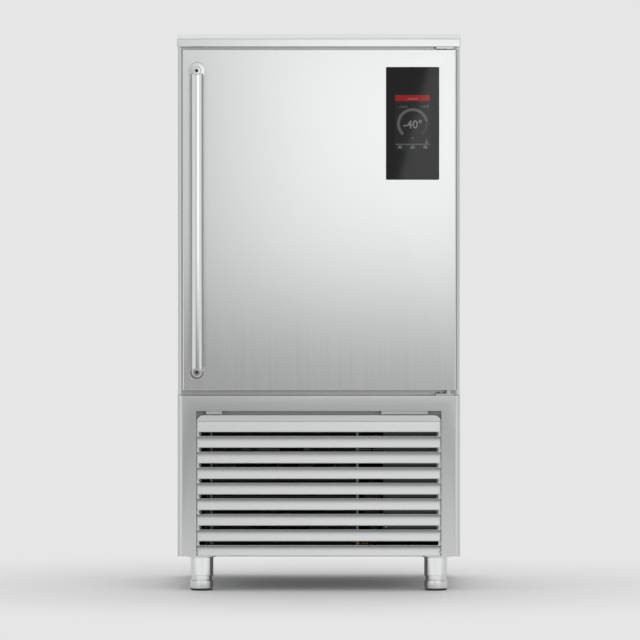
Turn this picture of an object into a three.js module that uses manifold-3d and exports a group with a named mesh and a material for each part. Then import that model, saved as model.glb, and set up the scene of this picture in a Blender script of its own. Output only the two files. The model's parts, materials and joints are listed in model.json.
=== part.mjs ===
// Upright ten-tray blast chiller: an insulated stainless cabinet with one right-hung door above a
// machine compartment with a tilting louvred front, on four adjustable feet.
// Millimetres, +Z up, the door faces -Y, +X is the viewer's right. The origin lies on the floor,
// under the middle of the whole outline.

import * as THREE from 'three';
import { mergeVertices } from 'three/addons/utils/BufferGeometryUtils.js';
import Module from 'manifold-3d';

const wasm = await Module();
wasm.setup();

// ---------------------------------------------------------------- driving dimensions

// whole cabinet
const cabinetWidth = 780;
const bodyDepth = 800; // front face of the door to the rear panel
const cabinetTop = 1538;
const legHeight = 97; // floor to the underside of the cabinet
const compartmentHeight = 444; // underside of the cabinet to the roof of the machine compartment

// sheet metal and gaps
const shellSheet = 1.2;
const linerSheet = 1;
const seatGap = 0.3; // left between two pieces that touch
const runGap = 0.4; // radial clearance of a pin or shaft in its hole

// top cover
const capHeight = 35;
const capLip = 22; // upright part of its front edge
const capSlopeDepth = 28;

// door
const doorLeftGap = 10.5; // from the cabinet's left side
const doorRightGap = 7.5;
const doorThickness = 56;
const doorTopGap = 8;
const doorBottomGap = 16;
const doorEdgeRadius = 8;
const doorDish = 8; // how far the inner panel swells into the chamber mouth
const dishMargin = 8; // all round, between that swelling and the mouth
const gasketDepth = 12;
const gasketWidth = 20;
const gasketMargin = 6; // from the chamber mouth to the gasket

// door hinge
const pivotInset = 23.5; // from the door's right edge to the hinge axis
const pivotDepth = 28; // from the door's face to the hinge axis
const hingePinRadius = 6;
const hingePinReach = 28; // how far a pin enters the door
const hingePlate = 5;
const hingeLeafLeft = 39; // of the axis
const hingeLeafRight = 17;
const hingeBossRadius = 10;
const bushWall = 4;

// door handle
const handleReach = 48; // from the door's face to the front of the bar
const handleInset = 54; // from the cabinet's left side to the middle of the bar
const handleLowInset = 50; // from the door's bottom edge to the lower mount's axis
const handleHighInset = 58; // from the door's top edge to the upper mount's axis
const handleBarWidth = 36;
const handleBarDepth = 14;
const handleStemRadius = 11.5;
const handleFlangeRadius = 23.5;
const handleFlangeDepth = 4;
const handleScrewRadius = 4.5;
const handleScrewSink = 3;

// control panel
const glassWidth = 146;
const glassHeight = 310;
const glassInset = 51; // from the door's right edge
const glassTopInset = 48; // from the door's top edge
const glassThickness = 5;
const glassProud = 1.5;
const bezelMargin = 6;
const bezelDepth = 2;
const moduleWidth = 118;
const moduleHeight = 180;
const moduleDepth = 26;
const moduleDrop = 67; // from the top of the glass to the top of the module

// insulated chamber
const sideWall = 60;
const rearWall = 60;
const floorWall = 59;
const ceilingWall = 78;
const linerCorner = 15;
const frameDepth = 8; // thickness of the collar round the chamber mouth
const upperFoldRadius = 10; // front edge of the side panel beside the door
const lowerFoldRadius = 14; // front edge of the side panel beside the louvres

// machine compartment front
const frameSheet = 1.5;
const stileWidth = 38;
const topRail = 42;
const frameReturn = 25;
const catchDepth = 11;
const catchInset = 3;
const catchGap = 2; // above the louvre panel
const leftCatchInset = 27; // from the aperture's left edge
const leftCatchWidth = 44;
const rightCatchInset = 37; // from the aperture's right edge
const rightCatchWidth = 129;

// louvre panel
const panelSideGap = 4;
const panelTopGap = 12;
const panelSheet = 1.5;
const panelLip = 16; // flat band above the first slat
const slotCount = 8;
const slotHeight = 11.6;
const firstSlotDrop = 52.4; // from the panel's top to the first slot's middle
const lastSlotRise = 35.9; // from the panel's foot to the last slot's middle
const slotInset = 5; // from the panel's side to the end of a slot
const slatBulge = 10;
const slatHook = 3.5; // how far the lowest slat's edge turns back
const slatSteps = 6;
const panelRim = 24; // depth of the rim round the panel; it keeps the panel's weight behind its pins
const panelCorner = 20; // radius of its two upper corners
const panelPinRadius = 3;
const panelPinReach = 5;
const panelPinRise = 12; // above the panel's lower edge
const panelPinSink = 4; // behind its front

// base and feet
const trayInset = 34; // from the front face to the base tray
const trayEdge = 20;
const footFrontInset = 66; // from the cabinet's side to a front foot's axis
const footRearInset = 55; // the rear feet stand a little further apart than the front ones
const footDepthInset = 66; // from the front face, and from the rear, to a foot's axis
const sleeveRadius = 32;
const sleeveLength = 55.7;
const sleeveCap = 6;
const sleeveFlangeRadius = 40;
const sleeveFlange = 4;
const footStemRadius = 29;
const footPadHeight = 28;
const footPadBevel = 4;

// rear panel
const rearVentCount = 9;
const rearVentPitch = 26;
const rearVentHeight = 7;
const rearVentWidth = 250;
const rearVentRise = 103; // above the cabinet's underside
const rearVentSpread = 25; // from the middle of the panel to the vents
const glandReach = 20;
const glandRadius = 14;
const glandBoreRadius = 6;
const glandInset = 90; // from the cabinet's right side
const glandRise = 63; // above the cabinet's underside
const glandNut = 10;

// tray racks
const rackStandoff = 28; // from the liner to the upright face beside a tray; leaves 604 for 600 mm trays
const rackLevels = 10;
const rackFirst = 68; // of the lowest ledge above the chamber floor
const rackLast = 144; // of the highest ledge below the chamber ceiling
const ledgeReach = 22;
const ledgeLip = 16;
const ledgeSheet = 2;
const rackFrontGap = 22; // from the chamber mouth to the ledges
const rackRearGap = 32.7; // from the ledges to the fan shroud
const uprightSize = 12;
const rackPadRise = 40; // of the wall pads beyond the last ledges

// evaporator and its fans
const coilSideGap = 63; // from the liner to an end plate
const coilDepth = 78;
const coilRise = 40; // above the chamber floor
const coilTopGap = 60; // below the chamber ceiling
const coilRearGap = 12;
const coilPlate = 5;
const coilFootHeight = 60;
const coilBendCount = 7;
const coilBendRadius = 14;
const coilTubeRadius = 5;
const shroudSheet = 1.5;
const shroudRise = 16; // above the chamber floor
const shroudTopGap = 29; // below the chamber ceiling
const shroudSideGap = 40; // from the liner
const shroudDepth = 112;
const shroudLip = 8; // over the coil's end plates
const evaporatorFanRadius = 128;
const fanTipGap = 7;
const fanHubRadius = 32;
const fanHubDepth = 26;
const fanBlades = 5;
const bladeSheet = 2.5;
const bladePitchDeg = 32;
const motorRadius = 38;
const motorLength = 50;
const shaftRadius = 5;
const motorArmWidth = 14;
const motorArmSheet = 3;
const guardRings = 3;
const guardWire = 3;

// condensing unit
const condenserLane = 68.5; // for the pipes between the coil and the electrical box
const condenserDepth = 60;
const condenserTopGap = 41; // below the roof of the compartment
const condenserInset = 90; // from the cabinet's left side
const condenserBack = 46; // from the front face to the coil
const condenserShroudDepth = 64;
const condenserFanRadius = 142;
const compressorInset = 240; // from the cabinet's right side to its axis
const compressorRearInset = 304;
const compressorRadius = 85;
const compressorHeight = 230;
const compressorBase = 220;
const compressorLeg = 48;
const compressorLegSheet = 4;
const compressorSeam = 8;
const compressorSeamProud = 3;
const bushingHeight = 12;
const bushingRadius = 14;
const receiverSpacing = 220; // left of the compressor
const receiverSetback = 10; // behind it
const receiverRadius = 48;
const receiverHeight = 210;
const receiverFoot = 12;
const drierRadius = 20;
const drierLength = 90;
const drierNeck = 8;
const drierShoulder = 12;
const boxWidth = 210;
const boxDepth = 130;
const boxRise = 71; // above the base tray
const boxTopGap = 90; // below the roof of the compartment
const boxSheet = 1.5;
const boardThickness = 3;
const boardMargin = 15;
const boardStandoff = 8;
const transformerTall = 40;
const capacitorTall = 22;
const relayTall = 24;
const terminalTall = 16;
const panWidth = 200;
const panDepth = 210;
const panHeight = 50;
const panWall = 2;
const panInset = 15; // from the cabinet's left side and rear
const drainInset = 110; // from the cabinet's left side and rear
const drainRadius = 12;
const drainWall = 2;
const drainFlange = 4;

// refrigerant pipes
const dischargeRadius = 6;
const suctionRadius = 9;
const liquidRadius = 5;
const pipeBend = 16;
const pipeSides = 8;
const stubReach = 12;
const stubEnd = 4; // of a coil's stub, beyond its end plate
const pipeHoleMargin = 7;

// ---------------------------------------------------------------- places worked out from them

const halfWidth = cabinetWidth / 2;
const frontY = handleReach - (handleReach + bodyDepth + glandReach) / 2;
const rearY = frontY + bodyDepth;
const capBottom = cabinetTop - capHeight;
const lowerTop = legHeight + compartmentHeight;
const doorTop = capBottom - doorTopGap;
const doorBottom = lowerTop + doorBottomGap;
const doorLeft = -halfWidth + doorLeftGap;
const doorRight = halfWidth - doorRightGap;
const doorBack = frontY + doorThickness;
const collarFront = doorBack + gasketDepth;
const shellInside = halfWidth - shellSheet - seatGap; // half width free for what lies between the sides
const rearInside = rearY - shellSheet - seatGap;

const chamberHalf = halfWidth - sideWall;
const chamberFloor = lowerTop + floorWall;
const chamberTop = cabinetTop - ceilingWall;
const chamberRear = rearY - rearWall;
const mouthHalf = chamberHalf + linerSheet + seatGap;
const mouthLow = chamberFloor - linerSheet - seatGap;
const mouthHigh = chamberTop + linerSheet + seatGap;

const pivotX = doorRight - pivotInset;
const pivotY = frontY + pivotDepth;
const handleX = -halfWidth + handleInset;
const handleLow = doorBottom + handleLowInset;
const handleHigh = doorTop - handleHighInset;
const glassCentreX = doorRight - glassInset - glassWidth / 2;
const glassTop = doorTop - glassTopInset;
const glassBottom = glassTop - glassHeight;
const glassSpan = (grow) => [glassCentreX - glassWidth / 2 - grow, glassCentreX + glassWidth / 2 + grow];
const moduleFront = frontY - glassProud + glassThickness + seatGap;
const moduleTop = glassTop - moduleDrop;
const moduleBottom = moduleTop - moduleHeight;
const moduleSpan = (grow) => [glassCentreX - moduleWidth / 2 - grow, glassCentreX + moduleWidth / 2 + grow];

const apertureHalf = halfWidth - lowerFoldRadius - stileWidth;
const apertureTop = lowerTop - topRail;
const panelHalf = apertureHalf - panelSideGap;
const panelTop = apertureTop - panelTopGap;
const slotPitch = (panelTop - firstSlotDrop - legHeight - lastSlotRise) / (slotCount - 1);
const panelPinY = frontY + panelPinSink;
const panelPinZ = legHeight + panelPinRise;

const trayTop = legHeight + frameSheet + seatGap; // what stands on the base tray starts here
const footFrontX = halfWidth - footFrontInset;
const footRearX = halfWidth - footRearInset;
const footFrontY = frontY + footDepthInset;
const footRearY = rearY - footDepthInset;

const coilRear = chamberRear - coilRearGap;
const coilFront = coilRear - coilDepth;
const coilLow = chamberFloor + coilRise;
const coilTop = chamberTop - coilTopGap;
const coilOuter = chamberHalf - coilSideGap;
const coilHalf = coilOuter - coilPlate; // to the inner face of an end plate
const coilPort = coilOuter + stubEnd + seatGap; // where the refrigerant pipes meet the coil's stubs
const shroudRear = coilFront - seatGap;
const shroudFront = shroudRear - shroudDepth;
const shroudLow = chamberFloor + shroudRise;
const shroudHigh = chamberTop - shroudTopGap;
const evaporatorFanHeights = {
  lower: shroudLow + (shroudHigh - shroudLow) / 4,
  upper: shroudHigh - (shroudHigh - shroudLow) / 4,
};

const rackInner = chamberHalf - rackStandoff;
const rackFront = collarFront + rackFrontGap;
const rackRear = shroudFront - rackRearGap;
const rackPitch = (chamberTop - rackLast - chamberFloor - rackFirst) / (rackLevels - 1);

const boxRight = shellInside;
const boxLeft = boxRight - boxWidth;
const condenserLeft = -halfWidth + condenserInset;
const condenserRight = boxLeft - condenserLane;
const condenserFront = frontY + condenserBack;
const condenserRear = condenserFront + condenserDepth;
const condenserTop = lowerTop - frameSheet - condenserTopGap;
const condenserShroudRear = condenserRear + seatGap + condenserShroudDepth;
const condenserFanX = (condenserLeft + condenserRight) / 2;
const condenserFanZ = (trayTop + condenserTop) / 2;

const boxFront = condenserFront;
const boxLow = trayTop + boxRise;
const boxTop = lowerTop - frameSheet - boxTopGap;
const compressorX = halfWidth - compressorInset;
const compressorY = rearY - compressorRearInset;
const compressorFoot = trayTop + bushingHeight;
const compressorTop = compressorFoot + compressorHeight;
const suctionPortZ = compressorFoot + compressorHeight * 0.7;
const receiverX = compressorX - receiverSpacing;
const receiverY = compressorY + receiverSetback;
const receiverTop = trayTop + receiverHeight;
const receiverPortZ = trayTop + receiverHeight * 0.55;
const drierLow = receiverTop + stubReach + seatGap;
const drierTop = drierLow + drierLength;
const drainX = -halfWidth + drainInset;
const drainY = rearY - drainInset;

const glandZ = legHeight + glandRise;
const pipeLaneX = (condenserRight + boxLeft) / 2; // the free lane between condenser and electrical box
const riserX = (coilOuter + chamberHalf) / 2; // refrigerant pipes rise in the chamber's rear corner
const suctionRiserY = coilFront + coilDepth * 0.3;
const liquidRiserY = coilFront + coilDepth * 0.75;
const suctionPort = coilLow + stubReach + suctionRadius;
const liquidPort = coilTop - stubReach - liquidRadius;
const condenserMiddle = (condenserFront + condenserRear) / 2;
const condenserPort = condenserRight + stubEnd + seatGap;
const hotGasZ = condenserTop - 2 * stubReach;
const liquidOutZ = trayTop + 2 * stubReach + liquidRadius;
const throughFloor = [lowerTop - 2 * frameSheet, chamberFloor + linerSheet]; // of the insulated chamber

// ---------------------------------------------------------------- solids from three.js geometry

function toSolid(geometry) {
  geometry.deleteAttribute('normal');
  geometry.deleteAttribute('uv');
  const merged = mergeVertices(geometry, 1e-4);
  const points = merged.attributes.position.array;
  const corner = (i) => new THREE.Vector3().fromArray(points, 3 * i);
  const faces = [];
  let volume = 0;
  for (let i = 0; i < merged.index.count; i += 3) {
    const [a, b, c] = merged.index.array.slice(i, i + 3);
    if (a === b || b === c || c === a) continue;
    faces.push([a, b, c]);
    volume += corner(a).dot(corner(b).cross(corner(c)));
  }
  const outward = volume < 0 ? faces.map(([a, b, c]) => [a, c, b]) : faces;
  return new wasm.Manifold(new wasm.Mesh({
    numProp: 3,
    vertProperties: new Float32Array(points),
    triVerts: new Uint32Array(outward.flat()),
  }));
}

function toGeometry(solid) {
  const mesh = solid.getMesh();
  const geometry = new THREE.BufferGeometry();
  geometry.setAttribute('position', new THREE.BufferAttribute(mesh.vertProperties, 3));
  geometry.setIndex(new THREE.BufferAttribute(mesh.triVerts, 1));
  geometry.computeVertexNormals();
  return geometry;
}

const join = (...solids) => solids.flat().reduce((whole, next) => whole.add(next));
const cut = (solid, ...tools) => tools.flat().reduce((whole, tool) => whole.subtract(tool), solid);

function box([x0, x1], [y0, y1], [z0, z1]) {
  const geometry = new THREE.BoxGeometry(x1 - x0, y1 - y0, z1 - z0);
  geometry.translate((x0 + x1) / 2, (y0 + y1) / 2, (z0 + z1) / 2);
  return toSolid(geometry);
}

// An outline swept along an axis: it holds (y, z) for 'x', (x, z) for 'y' and (x, y) for 'z'.
function prism(axis, outline, [from, to]) {
  const shape = new THREE.Shape(outline.map(([a, b]) => new THREE.Vector2(a, b)));
  const geometry = new THREE.ExtrudeGeometry(shape, { depth: to - from, bevelEnabled: false });
  const turn = new THREE.Matrix4();
  const [x, y, z] = [new THREE.Vector3(1, 0, 0), new THREE.Vector3(0, 1, 0), new THREE.Vector3(0, 0, 1)];
  if (axis === 'x') turn.makeBasis(y, z, x).setPosition(from, 0, 0);
  if (axis === 'y') turn.makeBasis(x, z, y.negate()).setPosition(0, to, 0);
  if (axis === 'z') turn.setPosition(0, 0, from);
  return toSolid(geometry.applyMatrix4(turn));
}

// Turns a shape made round +Y so that its axis is the named one, and moves it there.
function stand(geometry, axis, [a, b], along = 0) {
  if (axis === 'x') return geometry.rotateZ(-Math.PI / 2).translate(along, a, b);
  if (axis === 'z') return geometry.rotateX(Math.PI / 2).translate(a, b, along);
  return geometry.translate(a, along, b);
}

function rod(axis, centre, radius, [from, to], sides = 24) {
  const geometry = new THREE.CylinderGeometry(radius, radius, to - from, sides);
  return toSolid(stand(geometry, axis, centre, (from + to) / 2));
}

// A turned shape: profile points are (radius, place along the axis).
function turned(axis, centre, profile, sides = 22) {
  const points = profile.map(([r, h]) => new THREE.Vector2(r, h));
  return toSolid(stand(new THREE.LatheGeometry(points, sides), axis, centre));
}

function roundedRect([x0, x1], [z0, z1], radius, steps = 4) {
  const corners = [[x1 - radius, z1 - radius], [x0 + radius, z1 - radius],
    [x0 + radius, z0 + radius], [x1 - radius, z0 + radius]];
  return corners.flatMap(([cx, cz], i) => arc([cx, cz], radius, i * 90, i * 90 + 90, steps));
}

function arc([cx, cy], radius, fromDeg, toDeg, steps) {
  return Array.from({ length: steps + 1 }, (_, i) => {
    const angle = THREE.MathUtils.degToRad(fromDeg + (toDeg - fromDeg) * i / steps);
    return [cx + radius * Math.cos(angle), cy + radius * Math.sin(angle)];
  });
}

// The closed outline of a sheet whose one face follows the path, the other lying to the path's left.
function sheetOutline(path, thickness) {
  const other = path.map(([x, y], i) => {
    const before = path[Math.max(i - 1, 0)];
    const after = path[Math.min(i + 1, path.length - 1)];
    const into = i > 0 ? direction(before, [x, y]) : direction([x, y], after);
    const out = i < path.length - 1 ? direction([x, y], after) : into;
    const stretch = thickness / (1 + into[0] * out[0] + into[1] * out[1]);
    return [x - (into[1] + out[1]) * stretch, y + (into[0] + out[0]) * stretch];
  });
  return [...path, ...other.reverse()];
}

function direction([x0, y0], [x1, y1]) {
  const length = Math.hypot(x1 - x0, y1 - y0);
  return [(x1 - x0) / length, (y1 - y0) / length];
}

// A pipe's centre line: straight runs joined by bends of one radius.
class BentLine extends THREE.Curve {
  constructor(corners, bend, bendSteps = 3) {
    super();
    this.knots = [corners[0]];
    for (let i = 1; i < corners.length - 1; i++) {
      const [before, here, after] = corners.slice(i - 1, i + 2);
      const start = here.clone().add(before.clone().sub(here).setLength(bend));
      const end = here.clone().add(after.clone().sub(here).setLength(bend));
      this.knots.push(...new THREE.QuadraticBezierCurve3(start, here, end).getPoints(bendSteps));
    }
    this.knots.push(corners.at(-1));
  }

  getPointAt(u, target = new THREE.Vector3()) {
    const place = u * (this.knots.length - 1);
    const i = Math.min(Math.floor(place), this.knots.length - 2);
    return target.lerpVectors(this.knots[i], this.knots[i + 1], place - i);
  }

  getTangentAt(u, target = new THREE.Vector3()) {
    const i = Math.round(u * (this.knots.length - 1));
    const step = (a, b) => this.knots[b].clone().sub(this.knots[a]).normalize();
    if (i === 0) return target.copy(step(0, 1));
    if (i === this.knots.length - 1) return target.copy(step(i - 1, i));
    return target.copy(step(i - 1, i).add(step(i, i + 1)).normalize());
  }
}

function pipe(corners, radius) {
  const line = new BentLine(corners.map((p) => new THREE.Vector3(...p)), pipeBend);
  const section = new THREE.Shape(arc([0, 0], radius, 0, 360, pipeSides).slice(0, -1)
    .map(([a, b]) => new THREE.Vector2(a, b)));
  return toSolid(new THREE.ExtrudeGeometry(section, { steps: line.knots.length - 1, extrudePath: line }));
}

// ---------------------------------------------------------------- materials

const finish = (color, roughness, metalness) =>
  new THREE.MeshStandardMaterial({ color, roughness, metalness });
const steel = finish(0xc4c6c6, 0.35, 1);
const brightSteel = finish(0xcfd0d0, 0.2, 1);
const galvanised = finish(0x9fa3a5, 0.5, 1);
const foam = finish(0xe6dcb4, 0.9, 0);
const rubber = finish(0x3a3a3c, 0.8, 0);
const glass = finish(0x262123, 0.08, 0);
const darkPlastic = finish(0x2b2b2d, 0.6, 0);
const greyPlastic = finish(0x8f9294, 0.6, 0);
const blackPaint = finish(0x1d1d1f, 0.4, 0.3);
const finMetal = finish(0xb5b9bb, 0.45, 1);
const copper = finish(0xb87352, 0.3, 1);
const board = finish(0x2f6a45, 0.6, 0);

const chiller = new THREE.Group();

function piece(parent, name, solid, material) {
  const mesh = new THREE.Mesh(toGeometry(solid), material);
  mesh.name = name;
  parent.add(mesh);
}

// ---------------------------------------------------------------- outer shell

// One bent sheet a side: beside the louvres it reaches the front face, beside the door it steps back.
function sidePanel(side) {
  const fold = (front, radius, zSpan) => {
    const curve = arc([halfWidth - radius, front + radius], radius, 0, -90, 6);
    const path = [[halfWidth, rearY], ...curve].map(([x, y]) => [side * x, y]);
    return prism('z', sheetOutline(path, -side * shellSheet), zSpan);
  };
  const overlap = 60; // the two lengths share this much of the flat side
  const lower = fold(frontY, lowerFoldRadius, [legHeight, lowerTop]);
  const upper = fold(collarFront, upperFoldRadius, [lowerTop, capBottom - seatGap]);
  const [inner, outer] = [halfWidth - shellSheet, halfWidth];
  const xSpan = side > 0 ? [inner, outer] : [-outer, -inner];
  const flat = box(xSpan, [collarFront + overlap, rearY], [lowerTop - overlap, lowerTop + overlap]);
  return join(lower, flat, upper);
}

function topCover() {
  const outline = (inset) => [
    [frontY + inset, capBottom + inset],
    [frontY + inset, capBottom + capLip - inset / 2],
    [frontY + capSlopeDepth + inset / 2, cabinetTop - inset],
    [rearY - inset, cabinetTop - inset],
    [rearY - inset, capBottom + inset],
  ];
  const inside = halfWidth - shellSheet;
  const hollow = prism('x', outline(shellSheet), [-inside, inside]);
  const openBottom = box([-inside, inside], [collarFront, rearY - shellSheet],
    [capBottom - shellSheet, capBottom + 2 * shellSheet]);
  return cut(prism('x', outline(0), [-halfWidth, halfWidth]), hollow, openBottom);
}

function rearPanel() {
  const sheet = box([-shellInside, shellInside], [rearY - shellSheet, rearY],
    [legHeight, capBottom - seatGap]);
  const vents = [-1, 1].flatMap((side) => Array.from({ length: rearVentCount }, (_, i) => {
    const low = legHeight + rearVentRise + i * rearVentPitch;
    const far = rearVentSpread + rearVentWidth;
    const xSpan = side > 0 ? [rearVentSpread, far] : [-far, -rearVentSpread];
    return box(xSpan, [rearY - 3 * shellSheet, rearY + shellSheet], [low, low + rearVentHeight]);
  }));
  return cut(sheet, vents, rod('y', [halfWidth - glandInset, glandZ], glandRadius * 0.7 + seatGap,
    [rearY - 3 * shellSheet, rearY + shellSheet]));
}

function baseTray() {
  const [xs, ys] = [[-shellInside, shellInside], [frontY + trayInset, rearInside]];
  const shrink = ([a, b]) => [a + frameSheet, b - frameSheet];
  const whole = box(xs, ys, [legHeight, legHeight + trayEdge]);
  return cut(whole, box(shrink(xs), shrink(ys), [legHeight + frameSheet, legHeight + 2 * trayEdge]));
}

// Roof of the machine compartment and floor of the insulated box.
function compartmentRoof() {
  const sheet = box([-shellInside, shellInside], [collarFront, rearInside],
    [lowerTop - frameSheet, lowerTop]);
  return cut(sheet, pipeHole(), drainHole());
}

function pipeHole() {
  const half = suctionRadius + pipeHoleMargin;
  return box([riserX - half, riserX + half],
    [suctionRiserY - half, liquidRiserY + liquidRadius + pipeHoleMargin], throughFloor);
}

function drainHole() {
  return rod('z', [drainX, drainY], drainRadius + seatGap, throughFloor);
}

// ---------------------------------------------------------------- insulated chamber

function chamberCollar() {
  const outerHalf = halfWidth - upperFoldRadius - seatGap;
  const zSpan = [lowerTop + seatGap, capBottom - seatGap];
  const ring = box([-outerHalf, outerHalf], [collarFront, collarFront + frameDepth], zSpan);
  return cut(ring, prism('y', mouthOutline(), [collarFront - frameDepth, collarFront + 2 * frameDepth]));
}

function mouthOutline() {
  return roundedRect([-mouthHalf, mouthHalf], [mouthLow, mouthHigh], linerCorner + linerSheet + seatGap);
}

function innerLiner() {
  const skin = (grow) => roundedRect([-chamberHalf - grow, chamberHalf + grow],
    [chamberFloor - grow, chamberTop + grow], linerCorner + grow);
  const whole = prism('y', skin(linerSheet), [collarFront + seatGap, chamberRear + linerSheet]);
  const room = prism('y', skin(0), [collarFront - linerSheet, chamberRear]);
  return cut(whole, room, pipeHole(), drainHole());
}

function cabinetInsulation() {
  const block = box([-shellInside, shellInside], [collarFront + frameDepth + seatGap, rearInside],
    [lowerTop + seatGap, cabinetTop - shellSheet - seatGap]);
  const room = prism('y', mouthOutline(), [collarFront, chamberRear + linerSheet + seatGap]);
  return cut(block, room, pipeHole(), drainHole());
}

function drainPipe() {
  const inner = drainRadius - drainWall;
  const low = trayTop + panHeight / 2;
  const high = chamberFloor + seatGap + drainWall;
  const profile = [[inner, low], [drainRadius, low], [drainRadius, chamberFloor + seatGap],
    [drainRadius + drainFlange, chamberFloor + seatGap], [drainRadius + drainFlange, high], [inner, high],
    [inner, low]];
  return turned('z', [drainX, drainY], profile, 14);
}

// ---------------------------------------------------------------- evaporator side of the chamber

function finnedCoil([x0, x1], [y0, y1], [z0, z1], plate) {
  const core = box([x0, x1], [y0 + plate, y1 - plate], [z0 + plate, z1 - plate]);
  const ends = [[x0, x0 + plate], [x1 - plate, x1]].map((span) => box(span, [y0, y1], [z0, z1]));
  return join(core, ends);
}

function evaporatorCoil() {
  const body = finnedCoil([-coilOuter, coilOuter], [coilFront, coilRear], [coilLow, coilTop], coilPlate);
  const feet = [-1, 1].flatMap((side) => [coilLow, coilTop - coilFootHeight].map((z) => {
    const xs = side > 0 ? [coilHalf, coilOuter] : [-coilOuter, -coilHalf];
    return box(xs, [coilRear - coilPlate, chamberRear - seatGap], [z, z + coilFootHeight]);
  }));
  const pitch = (coilTop - coilLow) / (coilBendCount + 1);
  const middle = (coilFront + coilRear) / 2;
  const bends = Array.from({ length: coilBendCount },
    (_, i) => returnBend(-coilOuter, middle, coilLow + (i + 1) * pitch));
  const stubs = [
    rod('x', [suctionRiserY, suctionPort], suctionRadius, [coilHalf, coilOuter + stubEnd], 12),
    rod('x', [liquidRiserY, liquidPort], liquidRadius, [coilHalf, coilOuter + stubEnd], 12),
  ];
  return join(body, feet, bends, stubs);
}

// A half-ring of tube standing out of a coil's end plate.
function returnBend(x, y, z) {
  const ring = new THREE.TorusGeometry(coilBendRadius, coilTubeRadius, 5, 10);
  ring.translate(x + coilTubeRadius / 2, z, 0).applyMatrix4(new THREE.Matrix4().makeBasis(
    new THREE.Vector3(1, 0, 0), new THREE.Vector3(0, 0, 1), new THREE.Vector3(0, -1, 0)));
  return toSolid(ring.translate(0, y, 0));
}

// Shallow box in front of the coil: two fan holes in its face, and a lip that seats on the coil's end plates.
function fanShroud() {
  const half = chamberHalf - shroudSideGap;
  const zs = [shroudLow, shroudHigh];
  const whole = box([-half, half], [shroudFront, shroudRear], zs);
  const inside = box([-half + shroudSheet, half - shroudSheet],
    [shroudFront + shroudSheet, shroudRear - shroudSheet], [zs[0] + shroudSheet, zs[1] - shroudSheet]);
  const mouth = box([-coilHalf + shroudLip, coilHalf - shroudLip],
    [shroudRear - 2 * shroudSheet, shroudRear + shroudSheet], [coilLow + shroudLip, coilTop - shroudLip]);
  const through = [shroudFront - shroudSheet, shroudFront + 3 * shroudSheet];
  const holes = Object.values(evaporatorFanHeights).map(
    (z) => rod('y', [0, z], evaporatorFanRadius + fanTipGap, through, 40));
  return cut(whole, inside, mouth, holes);
}

// Hub with pitched blades; the motor's shaft enters it from the rear.
function fan([x, z], front, radius) {
  const rear = front + fanHubDepth;
  const bore = rod('y', [x, z], shaftRadius + runGap, [front + fanHubDepth / 3, rear + fanHubDepth], 12);
  const hub = cut(rod('y', [x, z], fanHubRadius, [front, rear], 20), bore);
  const reach = radius - fanHubRadius / 2;
  const pitch = THREE.MathUtils.degToRad(bladePitchDeg);
  const chord = (fanHubDepth - bladeSheet) / Math.sin(pitch);
  const blades = Array.from({ length: fanBlades }, (_, i) => {
    const blade = new THREE.BoxGeometry(reach, bladeSheet, chord);
    blade.rotateX(pitch).translate(fanHubRadius / 2 + reach / 2, 0, 0);
    blade.rotateY(2 * Math.PI * i / fanBlades).translate(x, (front + rear) / 2, z);
    return toSolid(blade);
  });
  const disc = rod('y', [x, z], radius, [front - fanHubDepth, rear + fanHubDepth], 30);
  const core = rod('y', [x, z], fanHubRadius * 0.7, [front - fanHubDepth, rear + fanHubDepth], 20);
  return join(hub, cut(join(blades).intersect(disc), core));
}

// Motor with its shaft towards -Y and four arms that reach forward to the plate round the fan.
function fanMotor([x, z], plateRear, holeRadius) {
  const gap = fanHubDepth / 3;
  const armY = plateRear + seatGap + fanHubDepth + gap;
  const motor = rod('y', [x, z], motorRadius, [armY, armY + motorLength], 18);
  const shaft = rod('y', [x, z], shaftRadius, [plateRear + fanHubDepth / 2, armY + gap], 12);
  const reach = holeRadius + 2 * motorArmSheet;
  const arms = [0, 1, 2, 3].map((i) => {
    const along = new THREE.BoxGeometry(reach, motorArmSheet, motorArmWidth);
    along.translate(reach / 2, armY + motorArmSheet / 2, 0);
    const [near, far] = [plateRear + seatGap, armY + motorArmSheet];
    const foot = new THREE.BoxGeometry(motorArmSheet, far - near, motorArmWidth);
    foot.translate(reach - motorArmSheet / 2, (near + far) / 2, 0);
    const place = (g) => toSolid(g.rotateY(Math.PI / 4 + i * Math.PI / 2).translate(x, 0, z));
    return join(place(along), place(foot));
  });
  return join(motor, shaft, arms);
}

// One welded wire grille: rings and spokes in front of each fan, joined by two upright wires.
function fanGuard() {
  const outer = evaporatorFanRadius + fanTipGap + 3 * guardWire;
  const rear = shroudFront - seatGap;
  const half = guardWire / 2;
  const wheels = Object.values(evaporatorFanHeights).flatMap((z) => {
    const rings = Array.from({ length: guardRings }, (_, i) => {
      const radius = outer * (i + 1) / guardRings;
      const profile = [[radius - guardWire, rear - guardWire], [radius, rear - guardWire], [radius, rear],
        [radius - guardWire, rear], [radius - guardWire, rear - guardWire]];
      return turned('y', [0, z], profile, 24);
    });
    const spokes = [0, 1, 2].map((i) => {
      const spoke = new THREE.BoxGeometry(2 * (outer - half), guardWire, guardWire);
      return toSolid(spoke.rotateY(i * Math.PI / 3 + Math.PI / 6).translate(0, rear - half, z));
    });
    return [...rings, ...spokes];
  });
  const uprights = [-1, 1].map((side) => box([side * outer / 2 - half, side * outer / 2 + half],
    [rear - guardWire, rear], [evaporatorFanHeights.lower, evaporatorFanHeights.upper]));
  return join(wheels, uprights);
}

// ---------------------------------------------------------------- tray racks

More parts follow.
